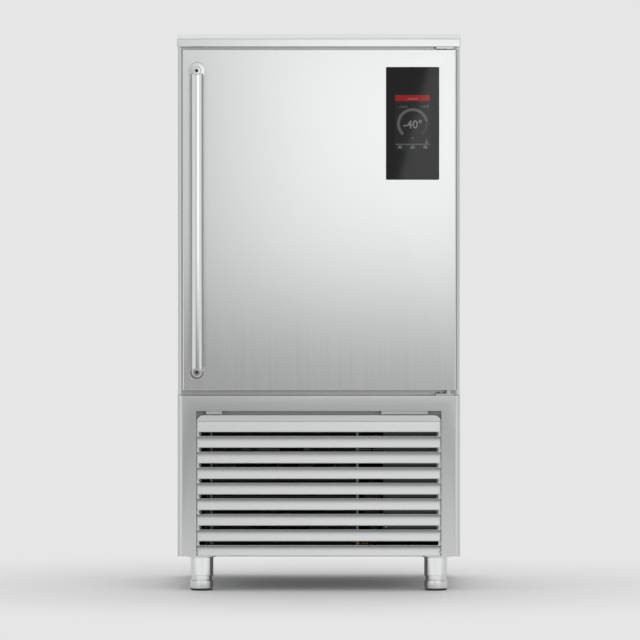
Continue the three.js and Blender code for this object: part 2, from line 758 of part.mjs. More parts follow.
// Ladder of ten ledges on three uprights, standing off the liner on pads.
function trayRack(side) {
  const mirrored = ([a, b]) => (side > 0 ? [a, b] : [-b, -a]);
  const first = chamberFloor + rackFirst;
  const last = first + (rackLevels - 1) * rackPitch;
  const zs = [first - rackPadRise, last + rackPadRise];
  const web = rackInner + ledgeSheet;
  const ledges = Array.from({ length: rackLevels }, (_, i) => {
    const top = first + i * rackPitch;
    const ledge = (xs, rise) => box(mirrored(xs), [rackFront, rackRear], [top - ledgeSheet, top + rise]);
    return join(ledge([rackInner - ledgeReach, web], 0), ledge([rackInner, web], ledgeLip));
  });
  const placesY = [rackFront, (rackFront + rackRear - uprightSize) / 2, rackRear - uprightSize];
  const uprights = placesY.map((y) => {
    const ys = [y, y + uprightSize];
    const post = box(mirrored([rackInner + ledgeSheet / 2, rackInner + uprightSize]), ys, zs);
    const pads = [[zs[0], zs[0] + uprightSize], [zs[1] - uprightSize, zs[1]]]
      .map((span) => box(mirrored([rackInner + uprightSize / 2, chamberHalf - seatGap]), ys, span));
    return join(post, pads);
  });
  return join(ledges, uprights);
}

// ---------------------------------------------------------------- door

function doorSkin() {
  const profile = (inset) => {
    const radius = doorEdgeRadius - inset;
    const [left, right] = [doorLeft + doorEdgeRadius, doorRight - doorEdgeRadius];
    const curveY = frontY + doorEdgeRadius;
    return [[doorLeft + inset, doorBack + inset], ...arc([left, curveY], radius, 180, 270, 6),
      ...arc([right, curveY], radius, 270, 360, 6), [doorRight - inset, doorBack + inset]];
  };
  const whole = prism('z', profile(0), [doorBottom, doorTop]);
  const room = prism('z', profile(shellSheet), [doorBottom + shellSheet, doorTop - shellSheet]);
  const behind = box([doorLeft - 1, doorRight + 1], [doorBack, doorBack + 2 * doorEdgeRadius],
    [doorBottom - 1, doorTop + 1]);
  const window = roundedRect(glassSpan(seatGap), [glassBottom - seatGap, glassTop + seatGap], 3);
  const bushes = rod('z', [pivotX, pivotY], hingePinRadius + bushWall + seatGap,
    [doorBottom - bushWall, doorTop + bushWall]);
  return cut(whole, room, behind, prism('y', window, [frontY - bushWall, frontY + 2 * shellSheet]), bushes);
}

// Flat pan that closes the door's back, with a low swelling that enters the chamber mouth.
function doorInnerPanel() {
  const inset = shellSheet + seatGap;
  const front = doorBack - linerSheet;
  const dish = (grow) => roundedRect([-chamberHalf + dishMargin - grow, chamberHalf - dishMargin + grow],
    [chamberFloor + dishMargin - grow, chamberTop - dishMargin + grow], linerCorner + grow);
  const plate = box([doorLeft + inset, doorRight - inset], [front, doorBack],
    [doorBottom + inset, doorTop - inset]);
  const swelling = prism('y', dish(0), [front, doorBack + doorDish]);
  const hollow = prism('y', dish(-linerSheet), [front - linerSheet, doorBack + doorDish - linerSheet]);
  return cut(join(plate, swelling), hollow);
}

function doorInsulation() {
  const inset = shellSheet + seatGap;
  const xs = [doorLeft + inset, doorRight - inset];
  const front = frontY + inset;
  const block = box(xs, [frontY + doorEdgeRadius, doorBack - linerSheet - seatGap],
    [doorBottom + inset, doorTop - inset]);
  const face = box([xs[0] + doorEdgeRadius, xs[1] - doorEdgeRadius], [front, frontY + 2 * doorEdgeRadius],
    [doorBottom + inset, doorTop - inset]);
  const shrink = dishMargin + linerSheet + seatGap;
  const swelling = prism('y', roundedRect([-chamberHalf + shrink, chamberHalf - shrink],
    [chamberFloor + shrink, chamberTop - shrink], linerCorner - linerSheet),
  [doorBack - 2 * doorEdgeRadius, doorBack + doorDish - linerSheet - seatGap]);
  const bezel = box(glassSpan(bezelMargin + seatGap), [frontY, moduleFront + bezelDepth + seatGap],
    [glassBottom - bezelMargin - seatGap, glassTop + bezelMargin + seatGap]);
  const pocket = box(moduleSpan(seatGap), [frontY, moduleFront + moduleDepth + seatGap],
    [moduleBottom - seatGap, moduleTop + seatGap]);
  return cut(join(block, face, swelling), bezel, pocket, bushSpace(1), bushSpace(-1));
}

function bushSpace(end) {
  const depth = hingePinReach + bushWall + 3 * seatGap;
  const span = end > 0 ? [doorTop - depth, doorTop] : [doorBottom, doorBottom + depth];
  return rod('z', [pivotX, pivotY], hingePinRadius + bushWall + seatGap, span);
}

function hingeBush(end) {
  const depth = hingePinReach + bushWall + 2 * seatGap;
  const mouth = end > 0 ? doorTop : doorBottom;
  const span = end > 0 ? [mouth - depth, mouth] : [mouth, mouth + depth];
  const bore = end > 0 ? [mouth - depth + bushWall, mouth + 1] : [mouth - 1, mouth + depth - bushWall];
  return cut(rod('z', [pivotX, pivotY], hingePinRadius + bushWall, span),
    rod('z', [pivotX, pivotY], hingePinRadius + runGap, bore));
}

// Leaf fixed to the cabinet, a boss that carries the door and a pin that enters its bush.
function hingeBracket(end) {
  const [root, face] = end > 0 ? [capBottom - seatGap, doorTop] : [lowerTop + seatGap, doorBottom];
  const up = end > 0 ? -1 : 1;
  const span = (from, to) => (up > 0 ? [from, to] : [to, from]);
  const leaf = box([pivotX - hingeLeafLeft, pivotX + hingeLeafRight],
    [frontY + doorEdgeRadius, collarFront - seatGap], span(root, root + up * hingePlate));
  const boss = rod('z', [pivotX, pivotY], hingeBossRadius, span(root, face - up * seatGap));
  const pin = rod('z', [pivotX, pivotY], hingePinRadius, span(root, face + up * hingePinReach));
  return join(leaf, boss, pin);
}

function doorGasket() {
  const ring = (grow, corner) =>
    roundedRect([-mouthHalf - grow, mouthHalf + grow], [mouthLow - grow, mouthHigh + grow], corner);
  const ySpan = [doorBack + seatGap, collarFront - seatGap];
  const inner = linerCorner + gasketMargin;
  return cut(prism('y', ring(gasketMargin + gasketWidth, inner + gasketWidth), ySpan),
    prism('y', ring(gasketMargin, inner), [ySpan[0] - 1, ySpan[1] + 1]));
}

// ---------------------------------------------------------------- handle

// Slightly crowned strip between the two mounts.
function handleBar() {
  const half = handleBarWidth / 2;
  const front = frontY - handleReach;
  const rear = front + handleBarDepth;
  const crown = Array.from({ length: 13 }, (_, i) => {
    const angle = Math.PI * i / 12;
    return [handleX - half * Math.cos(angle), rear - handleBarDepth * (0.35 + 0.65 * Math.sin(angle))];
  });
  const strip = prism('z', [[handleX + half, rear], [handleX - half, rear], ...crown],
    [handleLow + handleStemRadius * 0.8, handleHigh - handleStemRadius * 0.8]);
  const seats = [handleLow, handleHigh].map((z) => rod('y', [handleX, z], handleStemRadius + seatGap,
    [front - handleBarDepth, rear + handleBarDepth]));
  return cut(strip, seats);
}

function handleMount(z) {
  const front = frontY - handleReach;
  const rear = frontY - seatGap;
  const edge = 2;
  const flange = rear - handleFlangeDepth;
  const profile = [[0, rear], [handleFlangeRadius, rear], [handleFlangeRadius, flange + edge],
    [handleFlangeRadius - edge, flange], [handleStemRadius, flange], [handleStemRadius, front + edge],
    [handleStemRadius - edge, front], [0, front]];
  const socket = rod('y', [handleX, z], handleScrewRadius + seatGap,
    [front - edge, front + 3 * handleScrewSink], 16);
  return cut(turned('y', [handleX, z], profile), socket);
}

function handleScrew(z) {
  const head = frontY - handleReach + handleScrewSink;
  const body = rod('y', [handleX, z], handleScrewRadius, [head, head + 2 * handleScrewSink - seatGap], 16);
  return cut(body, rod('y', [handleX, z], handleScrewRadius / 2, [head - 1, head + handleScrewSink], 6));
}

// ---------------------------------------------------------------- control panel

function controlGlass() {
  const front = frontY - glassProud;
  return prism('y', roundedRect(glassSpan(0), [glassBottom, glassTop], 3), [front, front + glassThickness]);
}

function controlModule() {
  const bezel = box(glassSpan(bezelMargin), [moduleFront, moduleFront + bezelDepth],
    [glassBottom - bezelMargin, glassTop + bezelMargin]);
  return join(bezel, box(moduleSpan(0), [moduleFront, moduleFront + moduleDepth], [moduleBottom, moduleTop]));
}

// ---------------------------------------------------------------- machine compartment front

function lowerFrontFrame() {
  const outer = halfWidth - lowerFoldRadius - seatGap;
  const face = box([-outer, outer], [frontY, frontY + frameSheet], [legHeight, lowerTop]);
  const returns = box([-apertureHalf - frameSheet, apertureHalf + frameSheet], [frontY, frontY + frameReturn],
    [legHeight, apertureTop + frameSheet]);
  const aperture = box([-apertureHalf, apertureHalf], [frontY - 1, frontY + 2 * frameReturn],
    [legHeight - 1, apertureTop]);
  const inner = lowerFoldRadius - shellSheet - seatGap;
  const corner = shellInside - inner;
  const behindFold = frontY + lowerFoldRadius - inner;
  const shelfOutline = [[-shellInside, collarFront - seatGap],
    ...arc([-corner, frontY + lowerFoldRadius], inner, 180, 270, 6), [-outer, behindFold], [-outer, frontY],
    [outer, frontY], [outer, behindFold], ...arc([corner, frontY + lowerFoldRadius], inner, 270, 360, 6),
    [shellInside, collarFront - seatGap]];
  const shelf = prism('z', shelfOutline, [lowerTop - frameSheet, lowerTop]);
  const leftCatch = -apertureHalf + leftCatchInset;
  const rightCatch = apertureHalf - rightCatchInset;
  const catches = [[leftCatch, leftCatch + leftCatchWidth], [rightCatch - rightCatchWidth, rightCatch]]
    .map((span) => box(span, [frontY + catchInset, frontY + catchInset + catchDepth],
      [panelTop + catchGap, apertureTop + frameSheet]));
  const pinHoles = rod('x', [panelPinY, panelPinZ], panelPinRadius + runGap, [-outer, outer], 16);
  return join(cut(join(face, returns), aperture, pinHoles), shelf, catches);
}

// One pressed sheet: slats that swell forward between the slots, and an upright rim on every side.
function louvrePanel() {
  const slots = Array.from({ length: slotCount }, (_, i) => panelTop - firstSlotDrop - i * slotPitch);
  const deep = frontY + slatBulge;
  // Part of a sine: shallow under the slot above, fullest below the middle, turning in at the next slot.
  const slat = (top, bottom) => Array.from({ length: slatSteps + 1 }, (_, i) => {
    const fall = i / slatSteps;
    const swell = Math.sin(Math.PI * (0.1 + 0.62 * fall)) ** 0.8;
    return [deep - slatBulge * swell, top + (bottom - top) * fall];
  });
  const path = [[frontY, panelTop], [frontY, panelTop - panelLip]];
  let top = panelTop - panelLip - slatHook;
  for (const z of slots) {
    path.push(...slat(top, z + slotHeight / 2 + panelSheet), [deep, z + slotHeight / 2 - panelSheet]);
    top = z - slotHeight / 2;
  }
  path.push(...slat(top, legHeight + 2 * slatHook), [frontY + slatHook, legHeight]);
  const sheet = prism('x', sheetOutline(path, panelSheet), [-panelHalf, panelHalf]);
  const rimRear = frontY + panelRim;
  const ends = [[-panelHalf, -panelHalf + panelSheet], [panelHalf - panelSheet, panelHalf]]
    .map((span) => prism('x', [...path, [rimRear, legHeight], [rimRear, panelTop]], span));
  const rims = [
    box([-panelHalf, panelHalf], [frontY, rimRear], [panelTop - panelSheet, panelTop]),
    box([-panelHalf, panelHalf], [frontY + slatHook, rimRear], [legHeight, legHeight + panelSheet]),
  ];
  const openings = slots.map((z) => prism('y', roundedRect([-panelHalf + slotInset, panelHalf - slotInset],
    [z - slotHeight / 2, z + slotHeight / 2], slotHeight / 2 - 0.1, 3), [frontY - 1, rimRear + 1]));
  const pinEnd = panelHalf + panelPinReach;
  const pins = [[-pinEnd, -panelHalf + panelSheet], [panelHalf - panelSheet, pinEnd]]
    .map((span) => rod('x', [panelPinY, panelPinZ], panelPinRadius, span, 16));
  const curve = arc([panelHalf - panelCorner, panelTop - panelCorner], panelCorner, 90, 0, 6);
  const outside = [...curve, [panelHalf + 1, panelTop - panelCorner], [panelHalf + 1, panelTop + 1],
    [panelHalf - panelCorner, panelTop + 1]];
  const corners = [-1, 1].map(
    (side) => prism('y', outside.map(([x, z]) => [side * x, z]), [frontY - 1, rimRear + 1]));
  return join(cut(join(sheet, ends, rims), openings, corners), pins);
}

// ---------------------------------------------------------------- feet

function footSleeve([x, y]) {
  const top = legHeight - seatGap;
  const low = top - sleeveLength;
  const profile = [[0, top], [sleeveFlangeRadius, top], [sleeveFlangeRadius, top - sleeveFlange],
    [sleeveRadius, top - sleeveFlange], [sleeveRadius, low], [footStemRadius + runGap, low],
    [footStemRadius + runGap, top - sleeveCap], [0, top - sleeveCap]];
  return turned('z', [x, y], profile);
}

function footInsert([x, y]) {
  const top = legHeight - 2 * seatGap - sleeveCap;
  const profile = [[0, 0], [sleeveRadius - footPadBevel, 0], [sleeveRadius, footPadBevel],
    [sleeveRadius, footPadHeight - 1], [sleeveRadius - 1, footPadHeight], [footStemRadius, footPadHeight],
    [footStemRadius, top], [0, top]];
  return turned('z', [x, y], profile);
}

// ---------------------------------------------------------------- condensing unit

function condenserCoil() {
  const body = finnedCoil([condenserLeft, condenserRight], [condenserFront, condenserRear],
    [trayTop, condenserTop], coilPlate);
  const pitch = (condenserTop - trayTop) / (coilBendCount + 1);
  const bends = Array.from({ length: coilBendCount }, (_, i) => returnBend(condenserLeft, condenserMiddle,
    trayTop + (i + 1) * pitch));
  const stubSpan = [condenserRight - coilPlate, condenserRight + stubEnd];
  const stubs = [
    rod('x', [condenserMiddle, hotGasZ], dischargeRadius, stubSpan, 12),
    rod('x', [condenserMiddle, liquidOutZ], liquidRadius, stubSpan, 12),
  ];
  return join(body, bends, stubs);
}

function condenserShroud() {
  const [y0, y1] = [condenserRear + seatGap, condenserShroudRear];
  const whole = box([condenserLeft, condenserRight], [y0, y1], [trayTop, condenserTop]);
  const inside = box([condenserLeft + shroudSheet, condenserRight - shroudSheet], [y0 - 1, y1 - shroudSheet],
    [trayTop + shroudSheet, condenserTop - shroudSheet]);
  return cut(whole, inside, rod('y', [condenserFanX, condenserFanZ], condenserFanRadius + fanTipGap,
    [y1 - 3 * shroudSheet, y1 + shroudSheet], 40));
}

// Hermetic can: a drawn bowl and a domed lid, four legs on rubber bushings and two pipe stubs.
function compressor() {
  const [r, low, high] = [compressorRadius, compressorFoot, compressorTop];
  const dome = arc([r * 0.55, high - r * 0.45], r * 0.45, 0, 90, 4);
  const bowl = arc([r * 0.7, low + r * 0.3], r * 0.3, -90, 0, 3);
  const [seamLow, seamHigh] = [(low + high - compressorSeam) / 2, (low + high + compressorSeam) / 2];
  const proud = r + compressorSeamProud;
  const seam = [[r, seamLow], [proud, seamLow], [proud, seamHigh], [r, seamHigh]];
  const can = turned('z', [compressorX, compressorY], [[0, low], ...bowl, ...seam, ...dome, [0, high]], 20);
  const half = compressorBase / 2;
  const leg = (reachX, reachY) => box([compressorX - reachX, compressorX + reachX],
    [compressorY - reachY, compressorY + reachY], [low, low + compressorLegSheet]);
  const legs = [leg(half, compressorLeg / 2), leg(compressorLeg / 2, half)];
  const stubs = [
    rod('z', [compressorX, compressorY], dischargeRadius, [high - 4, high + stubReach], 12),
    rod('x', [compressorY, suctionPortZ], suctionRadius,
      [compressorX + r - 6, compressorX + r + stubReach], 12),
  ];
  const out = half - bushingRadius;
  const bushings = [[out, 0], [-out, 0], [0, out], [0, -out]].map(([dx, dy]) => rod('z',
    [compressorX + dx, compressorY + dy], bushingRadius, [trayTop, low + 1], 10));
  return join(can, legs, stubs, bushings);
}

function liquidReceiver() {
  const [r, low, high] = [receiverRadius, trayTop, receiverTop];
  const bowl = arc([r * 0.6, low + receiverFoot + r * 0.4], r * 0.4, -90, 0, 3);
  const dome = arc([r * 0.55, high - r * 0.45], r * 0.45, 0, 90, 3);
  const profile = [[0, low], [r * 0.7, low], [r * 0.7, low + receiverFoot], ...bowl, ...dome, [0, high]];
  const can = turned('z', [receiverX, receiverY], profile, 16);
  const stubs = [
    rod('z', [receiverX, receiverY], liquidRadius, [high - 4, high + stubReach], 12),
    rod('y', [receiverX, receiverPortZ], liquidRadius, [receiverY - r - stubReach, receiverY - r + 6], 12),
  ];
  return join(can, stubs);
}

function filterDrier() {
  const [low, high, neck] = [drierLow, drierTop, liquidRadius + 2];
  const shoulder = drierNeck + drierShoulder;
  const profile = [[0, low], [neck, low], [neck, low + drierNeck], [drierRadius, low + shoulder],
    [drierRadius, high - shoulder], [neck, high - drierNeck], [neck, high], [0, high]];
  return turned('z', [receiverX, receiverY], profile, 12);
}

function electricalBox() {
  const [xs, ys, zs] = [[boxLeft, boxRight], [boxFront, boxFront + boxDepth], [boxLow, boxTop]];
  const inside = box([xs[0] + boxSheet, xs[1] - boxSheet], [ys[0] - 1, ys[1] - boxSheet],
    [zs[0] + boxSheet, zs[1] - boxSheet]);
  return cut(box(xs, ys, zs), inside);
}

function electricalCover() {
  const rear = boxFront - seatGap;
  return box([boxLeft, boxRight], [rear - boxSheet, rear], [boxLow, boxTop]);
}

// Circuit board on the box's rear wall with its transformer, relays and terminal strip.
function powerBoard() {
  const rear = boxFront + boxDepth - boxSheet - seatGap;
  const [x0, x1] = [boxLeft + boardMargin, boxRight - boardMargin];
  const [z0, z1] = [boxLow + boardMargin, boxTop - boardMargin];
  const front = rear - boardStandoff - boardThickness;
  const slab = box([x0, x1], [front, front + boardThickness], [z0, z1]);
  const spacer = box([x0 + boardMargin, x1 - boardMargin], [front + boardThickness, rear],
    [z0 + boardMargin, z1 - boardMargin]);
  const across = (from, to) => [x0 + (x1 - x0) * from, x0 + (x1 - x0) * to];
  const up = (from, to) => [z0 + (z1 - z0) * from, z0 + (z1 - z0) * to];
  const part = (xs, zs, tall) => box(xs, [front - tall, front + 1], zs);
  const transformer = part(across(0.1, 0.45), up(0.68, 0.92), transformerTall);
  const capacitor = part(across(0.6, 0.9), up(0.76, 0.92), capacitorTall);
  const relays = [0.1, 0.4, 0.7].map((at) => part(across(at, at + 0.2), up(0.24, 0.4), relayTall));
  const terminals = part(across(0.08, 0.92), up(0.05, 0.12), terminalTall);
  return join(slab, spacer, transformer, capacitor, relays, terminals);
}

function condensatePan() {
  const xs = [-shellInside + panInset, -shellInside + panInset + panWidth];
  const ys = [rearInside - panInset - panDepth, rearInside - panInset];
  const shrink = ([a, b]) => [a + panWall, b - panWall];
  return cut(box(xs, ys, [trayTop, trayTop + panHeight]),
    box(shrink(xs), shrink(ys), [trayTop + panWall, trayTop + 2 * panHeight]));
}

// Pipes run from stub to stub; each list holds the corners of one route.
function dischargePipe() {
  const start = compressorTop + stubReach + seatGap;
  return pipe([[compressorX, compressorY, start], [compressorX, compressorY, condenserTop],
    [pipeLaneX, compressorY - 2 * pipeBend, condenserTop],
    [pipeLaneX, condenserMiddle + 2 * pipeBend, condenserTop],
    [pipeLaneX, condenserMiddle, hotGasZ], [condenserPort, condenserMiddle, hotGasZ]], dischargeRadius);
}

function condenserOutletPipe() {
  const turnY = (condenserShroudRear + compressorY - compressorBase / 2) / 2;
  return pipe([[condenserPort, condenserMiddle, liquidOutZ], [pipeLaneX, condenserMiddle, liquidOutZ],
    [pipeLaneX, turnY, liquidOutZ], [receiverX, turnY, receiverPortZ],
    [receiverX, receiverY - receiverRadius - stubReach - seatGap, receiverPortZ]], liquidRadius);
}

function liquidPipe() {
  const level = drierTop + 3 * pipeBend;
  return pipe([[receiverX, receiverY, drierTop + seatGap], [receiverX, receiverY, level],
    [receiverX, liquidRiserY, level], [riserX, liquidRiserY, level], [riserX, liquidRiserY, liquidPort],
    [coilPort, liquidRiserY, liquidPort]], liquidRadius);
}

function suctionPipe() {
  const level = compressorTop + 2 * pipeBend;
  return pipe([[coilPort, suctionRiserY, suctionPort], [riserX, suctionRiserY, suctionPort],
    [riserX, suctionRiserY, level], [riserX, compressorY, level], [riserX, compressorY, suctionPortZ],
    [compressorX + compressorRadius + stubReach + seatGap, compressorY, suctionPortZ]], suctionRadius);
}

// Screwed gland for the mains lead, through the rear panel.
function cableGland() {
  const [bore, neck] = [glandBoreRadius, glandRadius * 0.7];
  const inside = rearY - shellSheet - seatGap;
  const profile = [[bore, inside - glandNut], [glandRadius, inside - glandNut], [glandRadius, inside],
    [neck, inside], [neck, rearY + seatGap], [glandRadius, rearY + seatGap], [glandRadius, rearY + glandReach * 0.55],
    [glandRadius * 0.75, rearY + glandReach], [bore, rearY + glandReach], [bore, inside - glandNut]];
  return turned('y', [halfWidth - glandInset, glandZ], profile, 14);
}

// ---------------------------------------------------------------- assembly

const cabinet = new THREE.Group();
const door = new THREE.Group();
const louvres = new THREE.Group();
chiller.add(cabinet, door, louvres);

piece(cabinet, 'side_panel_left', sidePanel(-1), steel);
piece(cabinet, 'side_panel_right', sidePanel(1), steel);
piece(cabinet, 'top_cover', topCover(), steel);
piece(cabinet, 'rear_panel', rearPanel(), galvanised);
piece(cabinet, 'base_tray', baseTray(), galvanised);
piece(cabinet, 'compartment_roof', compartmentRoof(), galvanised);
piece(cabinet, 'lower_front_frame', lowerFrontFrame(), steel);
piece(cabinet, 'chamber_collar', chamberCollar(), steel);
piece(cabinet, 'inner_liner', innerLiner(), steel);
piece(cabinet, 'cabinet_insulation', cabinetInsulation(), foam);
piece(cabinet, 'drain_pipe', drainPipe(), greyPlastic);
piece(cabinet, 'cable_gland', cableGland(), darkPlastic);

const feet = { front_left: [-footFrontX, footFrontY], front_right: [footFrontX, footFrontY],
  rear_left: [-footRearX, footRearY], rear_right: [footRearX, footRearY] };
for (const [place, centre] of Object.entries(feet)) {
  piece(cabinet, `foot_sleeve_${place}`, footSleeve(centre), brightSteel);
  piece(chiller, `foot_insert_${place}`, footInsert(centre), brightSteel);
}

piece(cabinet, 'evaporator_coil', evaporatorCoil(), finMetal);
piece(cabinet, 'fan_shroud', fanShroud(), steel);
for (const [place, z] of Object.entries(evaporatorFanHeights)) {
  const hole = evaporatorFanRadius + fanTipGap;
  const front = shroudFront + shroudSheet;
  piece(cabinet, `evaporator_fan_motor_${place}`, fanMotor([0, z], front, hole), blackPaint);
  piece(chiller, `evaporator_fan_${place}`, fan([0, z], front, evaporatorFanRadius), darkPlastic);
}
piece(cabinet, 'fan_guard', fanGuard(), brightSteel);
piece(cabinet, 'tray_rack_left', trayRack(-1), brightSteel);
piece(cabinet, 'tray_rack_right', trayRack(1), brightSteel);

piece(cabinet, 'hinge_bracket_top', hingeBracket(1), brightSteel);
piece(cabinet, 'hinge_bracket_bottom', hingeBracket(-1), brightSteel);
piece(door, 'hinge_bush_top', hingeBush(1), greyPlastic);
piece(door, 'hinge_bush_bottom', hingeBush(-1), greyPlastic);
piece(door, 'door_skin', doorSkin(), steel);
piece(door, 'door_insulation', doorInsulation(), foam);
piece(door, 'door_inner_panel', doorInnerPanel(), steel);
piece(door, 'door_gasket', doorGasket(), rubber);
piece(door, 'handle_bar', handleBar(), brightSteel);
for (const [place, z] of Object.entries({ lower: handleLow, upper: handleHigh })) {
  piece(door, `handle_mount_${place}`, handleMount(z), brightSteel);
  piece(door, `handle_screw_${place}`, handleScrew(z), blackPaint);
}
piece(door, 'control_glass', controlGlass(), glass);
piece(door, 'control_module', controlModule(), darkPlastic);

piece(louvres, 'louvre_panel', louvrePanel(), steel);

piece(cabinet, 'condenser_coil', condenserCoil(), finMetal);
piece(cabinet, 'condenser_shroud', condenserShroud(), galvanised);
piece(cabinet, 'condenser_fan_motor', fanMotor([condenserFanX, condenserFanZ], condenserShroudRear,
  condenserFanRadius + fanTipGap), blackPaint);
piece(chiller, 'condenser_fan', fan([condenserFanX, condenserFanZ], condenserShroudRear, condenserFanRadius),
  darkPlastic);
piece(cabinet, 'compressor', compressor(), blackPaint);
piece(cabinet, 'liquid_receiver', liquidReceiver(), blackPaint);
piece(cabinet, 'filter_drier', filterDrier(), copper);
piece(cabinet, 'discharge_pipe', dischargePipe(), copper);
piece(cabinet, 'condenser_outlet_pipe', condenserOutletPipe(), copper);
piece(cabinet, 'liquid_pipe', liquidPipe(), copper);
piece(cabinet, 'suction_pipe', suctionPipe(), copper);
piece(cabinet, 'electrical_box', electricalBox(), galvanised);
piece(cabinet, 'electrical_cover', electricalCover(), galvanised);
piece(cabinet, 'power_board', powerBoard(), board);
piece(cabinet, 'condensate_pan', condensatePan(), galvanised);

export default chiller;
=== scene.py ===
"""Blast chiller: an upright ten-tray cabinet with its door, its louvred machine compartment and what they hold.

Run as a script in Blender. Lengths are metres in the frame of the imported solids, whose boxes give the places.
"""

import json
import math

import bmesh
import bpy
from bmesh.types import BMEdge, BMFace, BMVert
from mathutils import Matrix, Vector

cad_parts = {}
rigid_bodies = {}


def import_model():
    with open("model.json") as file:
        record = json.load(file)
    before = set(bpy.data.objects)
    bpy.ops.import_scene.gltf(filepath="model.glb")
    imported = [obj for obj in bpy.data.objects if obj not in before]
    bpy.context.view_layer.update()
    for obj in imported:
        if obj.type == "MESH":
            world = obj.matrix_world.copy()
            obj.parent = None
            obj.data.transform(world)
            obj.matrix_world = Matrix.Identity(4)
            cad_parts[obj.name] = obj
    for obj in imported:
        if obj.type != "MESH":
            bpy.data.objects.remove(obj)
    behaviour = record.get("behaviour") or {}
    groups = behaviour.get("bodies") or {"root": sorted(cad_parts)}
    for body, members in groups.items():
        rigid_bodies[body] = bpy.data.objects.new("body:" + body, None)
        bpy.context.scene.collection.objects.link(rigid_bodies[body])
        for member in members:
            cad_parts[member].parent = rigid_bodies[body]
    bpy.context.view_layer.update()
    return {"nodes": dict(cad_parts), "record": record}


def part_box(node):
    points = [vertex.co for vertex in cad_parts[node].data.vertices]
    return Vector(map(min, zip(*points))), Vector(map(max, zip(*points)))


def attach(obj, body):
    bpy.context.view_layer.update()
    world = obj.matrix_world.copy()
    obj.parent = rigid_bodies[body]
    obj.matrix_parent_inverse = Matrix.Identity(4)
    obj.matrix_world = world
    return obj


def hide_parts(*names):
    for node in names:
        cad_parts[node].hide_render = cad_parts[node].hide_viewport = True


bl_info = {
    "name": "Blast chiller",
    "version": (1, 0, 0),
    "blender": (4, 5, 0),
    "location": "3D View > Sidebar > Chiller",
    "description": "Dresses the solids of an upright blast chiller with its sheet metal, cooling unit and studio",
    "category": "Object",
}

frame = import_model()
MM = 0.001
AXES = {"x": Vector((1, 0, 0)), "y": Vector((0, 1, 0)), "z": Vector((0, 0, 1))}


def number(name, description, value, **settings):
    """A plain property with a level, a share or a size in metres."""
    return bpy.props.FloatProperty(name=name, description=description, default=value, **settings)


def millimetres(name, description, value):
    """A length property that shows as a distance and starts at so many millimetres."""
    return number(name, description, value * MM, unit="LENGTH", precision=4)


def linear(code):
    """An sRGB hex colour as the linear red, green, blue and alpha that sockets take."""
    parts = [int(code[i:i + 2], 16) / 255 for i in (1, 3, 5)]
    return (*(c / 12.92 if c <= 0.04045 else ((c + 0.055) / 1.055) ** 2.4 for c in parts), 1.0)


# ---------------------------------------------------------------- sizes and colours a user may change


class ChillerShell(bpy.types.PropertyGroup):
    """Folded sheets of the cabinet and the door."""

    sheet: millimetres("Sheet", "Thickness of the outer stainless sheet", 1.2)
    lower_fold: millimetres("Lower fold", "Outer radius of the side panels' front edge beside the louvres", 14)
    upper_fold: millimetres("Upper fold", "Outer radius of the side panels' front edge beside the door", 10)
    door_fold: millimetres("Door fold", "Outer radius of the door's upright edges", 8)
    cap_lip: millimetres("Cap lip", "Height of the upright front of the top cover", 22)
    cap_slope: millimetres("Cap slope", "Depth of the sloping front of the top cover", 28)
    liner_corner: millimetres("Liner corner", "Radius of the chamber's corners", 15)
    vent_hood: millimetres("Vent hood", "How far a hood stands off the rear sheet", 6)


class ChillerLouvres(bpy.types.PropertyGroup):
    """The pressed front of the machine compartment."""

    slots: bpy.props.IntProperty(name="Slots", description="Number of air slots", default=8, min=2)
    slot_height: millimetres("Slot height", "Clear height of a slot", 11.6)
    first_drop: millimetres("First slot", "From the panel's top to the middle of the first slot", 52.4)
    last_rise: millimetres("Last slot", "From the panel's foot to the middle of the last slot", 35.9)
    slot_inset: millimetres("Slot inset", "From the panel's side to the end of a slot", 6.5)
    bulge: millimetres("Bulge", "How far a slat swells forward", 12)
    lip: millimetres("Lip", "Height of the flat band above the first slat", 16)
    corner: millimetres("Corner", "Radius of the panel's upper corners", 20)


class ChillerHandle(bpy.types.PropertyGroup):
    """Bar handle on two round mounts."""

    stem: millimetres("Stem", "Radius of a mount's stem", 11.5)
    flange: millimetres("Flange", "Thickness of a mount's flange", 4)
    socket: millimetres("Socket", "Radius of the screw's recess in a stem", 4.8)
    edge: number("Edge", "Thickness of the bar at its sides, as a share of its depth", 0.35, min=0.1, max=1.0,
                 subtype="FACTOR")


class ChillerDisplay(bpy.types.PropertyGroup):
    """The lit screen behind the control glass."""

    figure: bpy.props.StringProperty(name="Figure", description="Plain temperature on the dial", default="-40°")
    figure_height: millimetres("Figure height", "Height of the figure", 24)
    width: millimetres("Width", "Width of the lit screen", 96)
    height: millimetres("Height", "Height of the lit screen", 151)
    dial: millimetres("Dial", "Outer radius of the dial ring", 43)
    dial_width: millimetres("Dial width", "Width of the dial ring", 8)


class ChillerCooling(bpy.types.PropertyGroup):
    """Fans and coils."""

    blades: bpy.props.IntProperty(name="Blades", description="Blades of a fan", default=5, min=3)
    fin_pitch: millimetres("Fin pitch", "Distance between two fins of a coil, drawn coarser than the real 3 mm", 5)
    fin: millimetres("Fin", "Thickness of a fin, drawn thicker than the real 0.2 mm", 0.5)
    tube: millimetres("Tube", "Radius of a coil's tubes", 4.5)
    guard_pitch: millimetres("Guard pitch", "Distance between two rings of the fan guard", 13)
    wire: millimetres("Wire", "Diameter of the fan guard's wire", 3)


class ChillerRacks(bpy.types.PropertyGroup):
    """The runners that the trays slide on."""

    levels: bpy.props.IntProperty(name="Levels", description="Number of trays the racks take", default=10, min=1)
    bend: millimetres("Bend", "Radius of a runner's folds", 1.6)


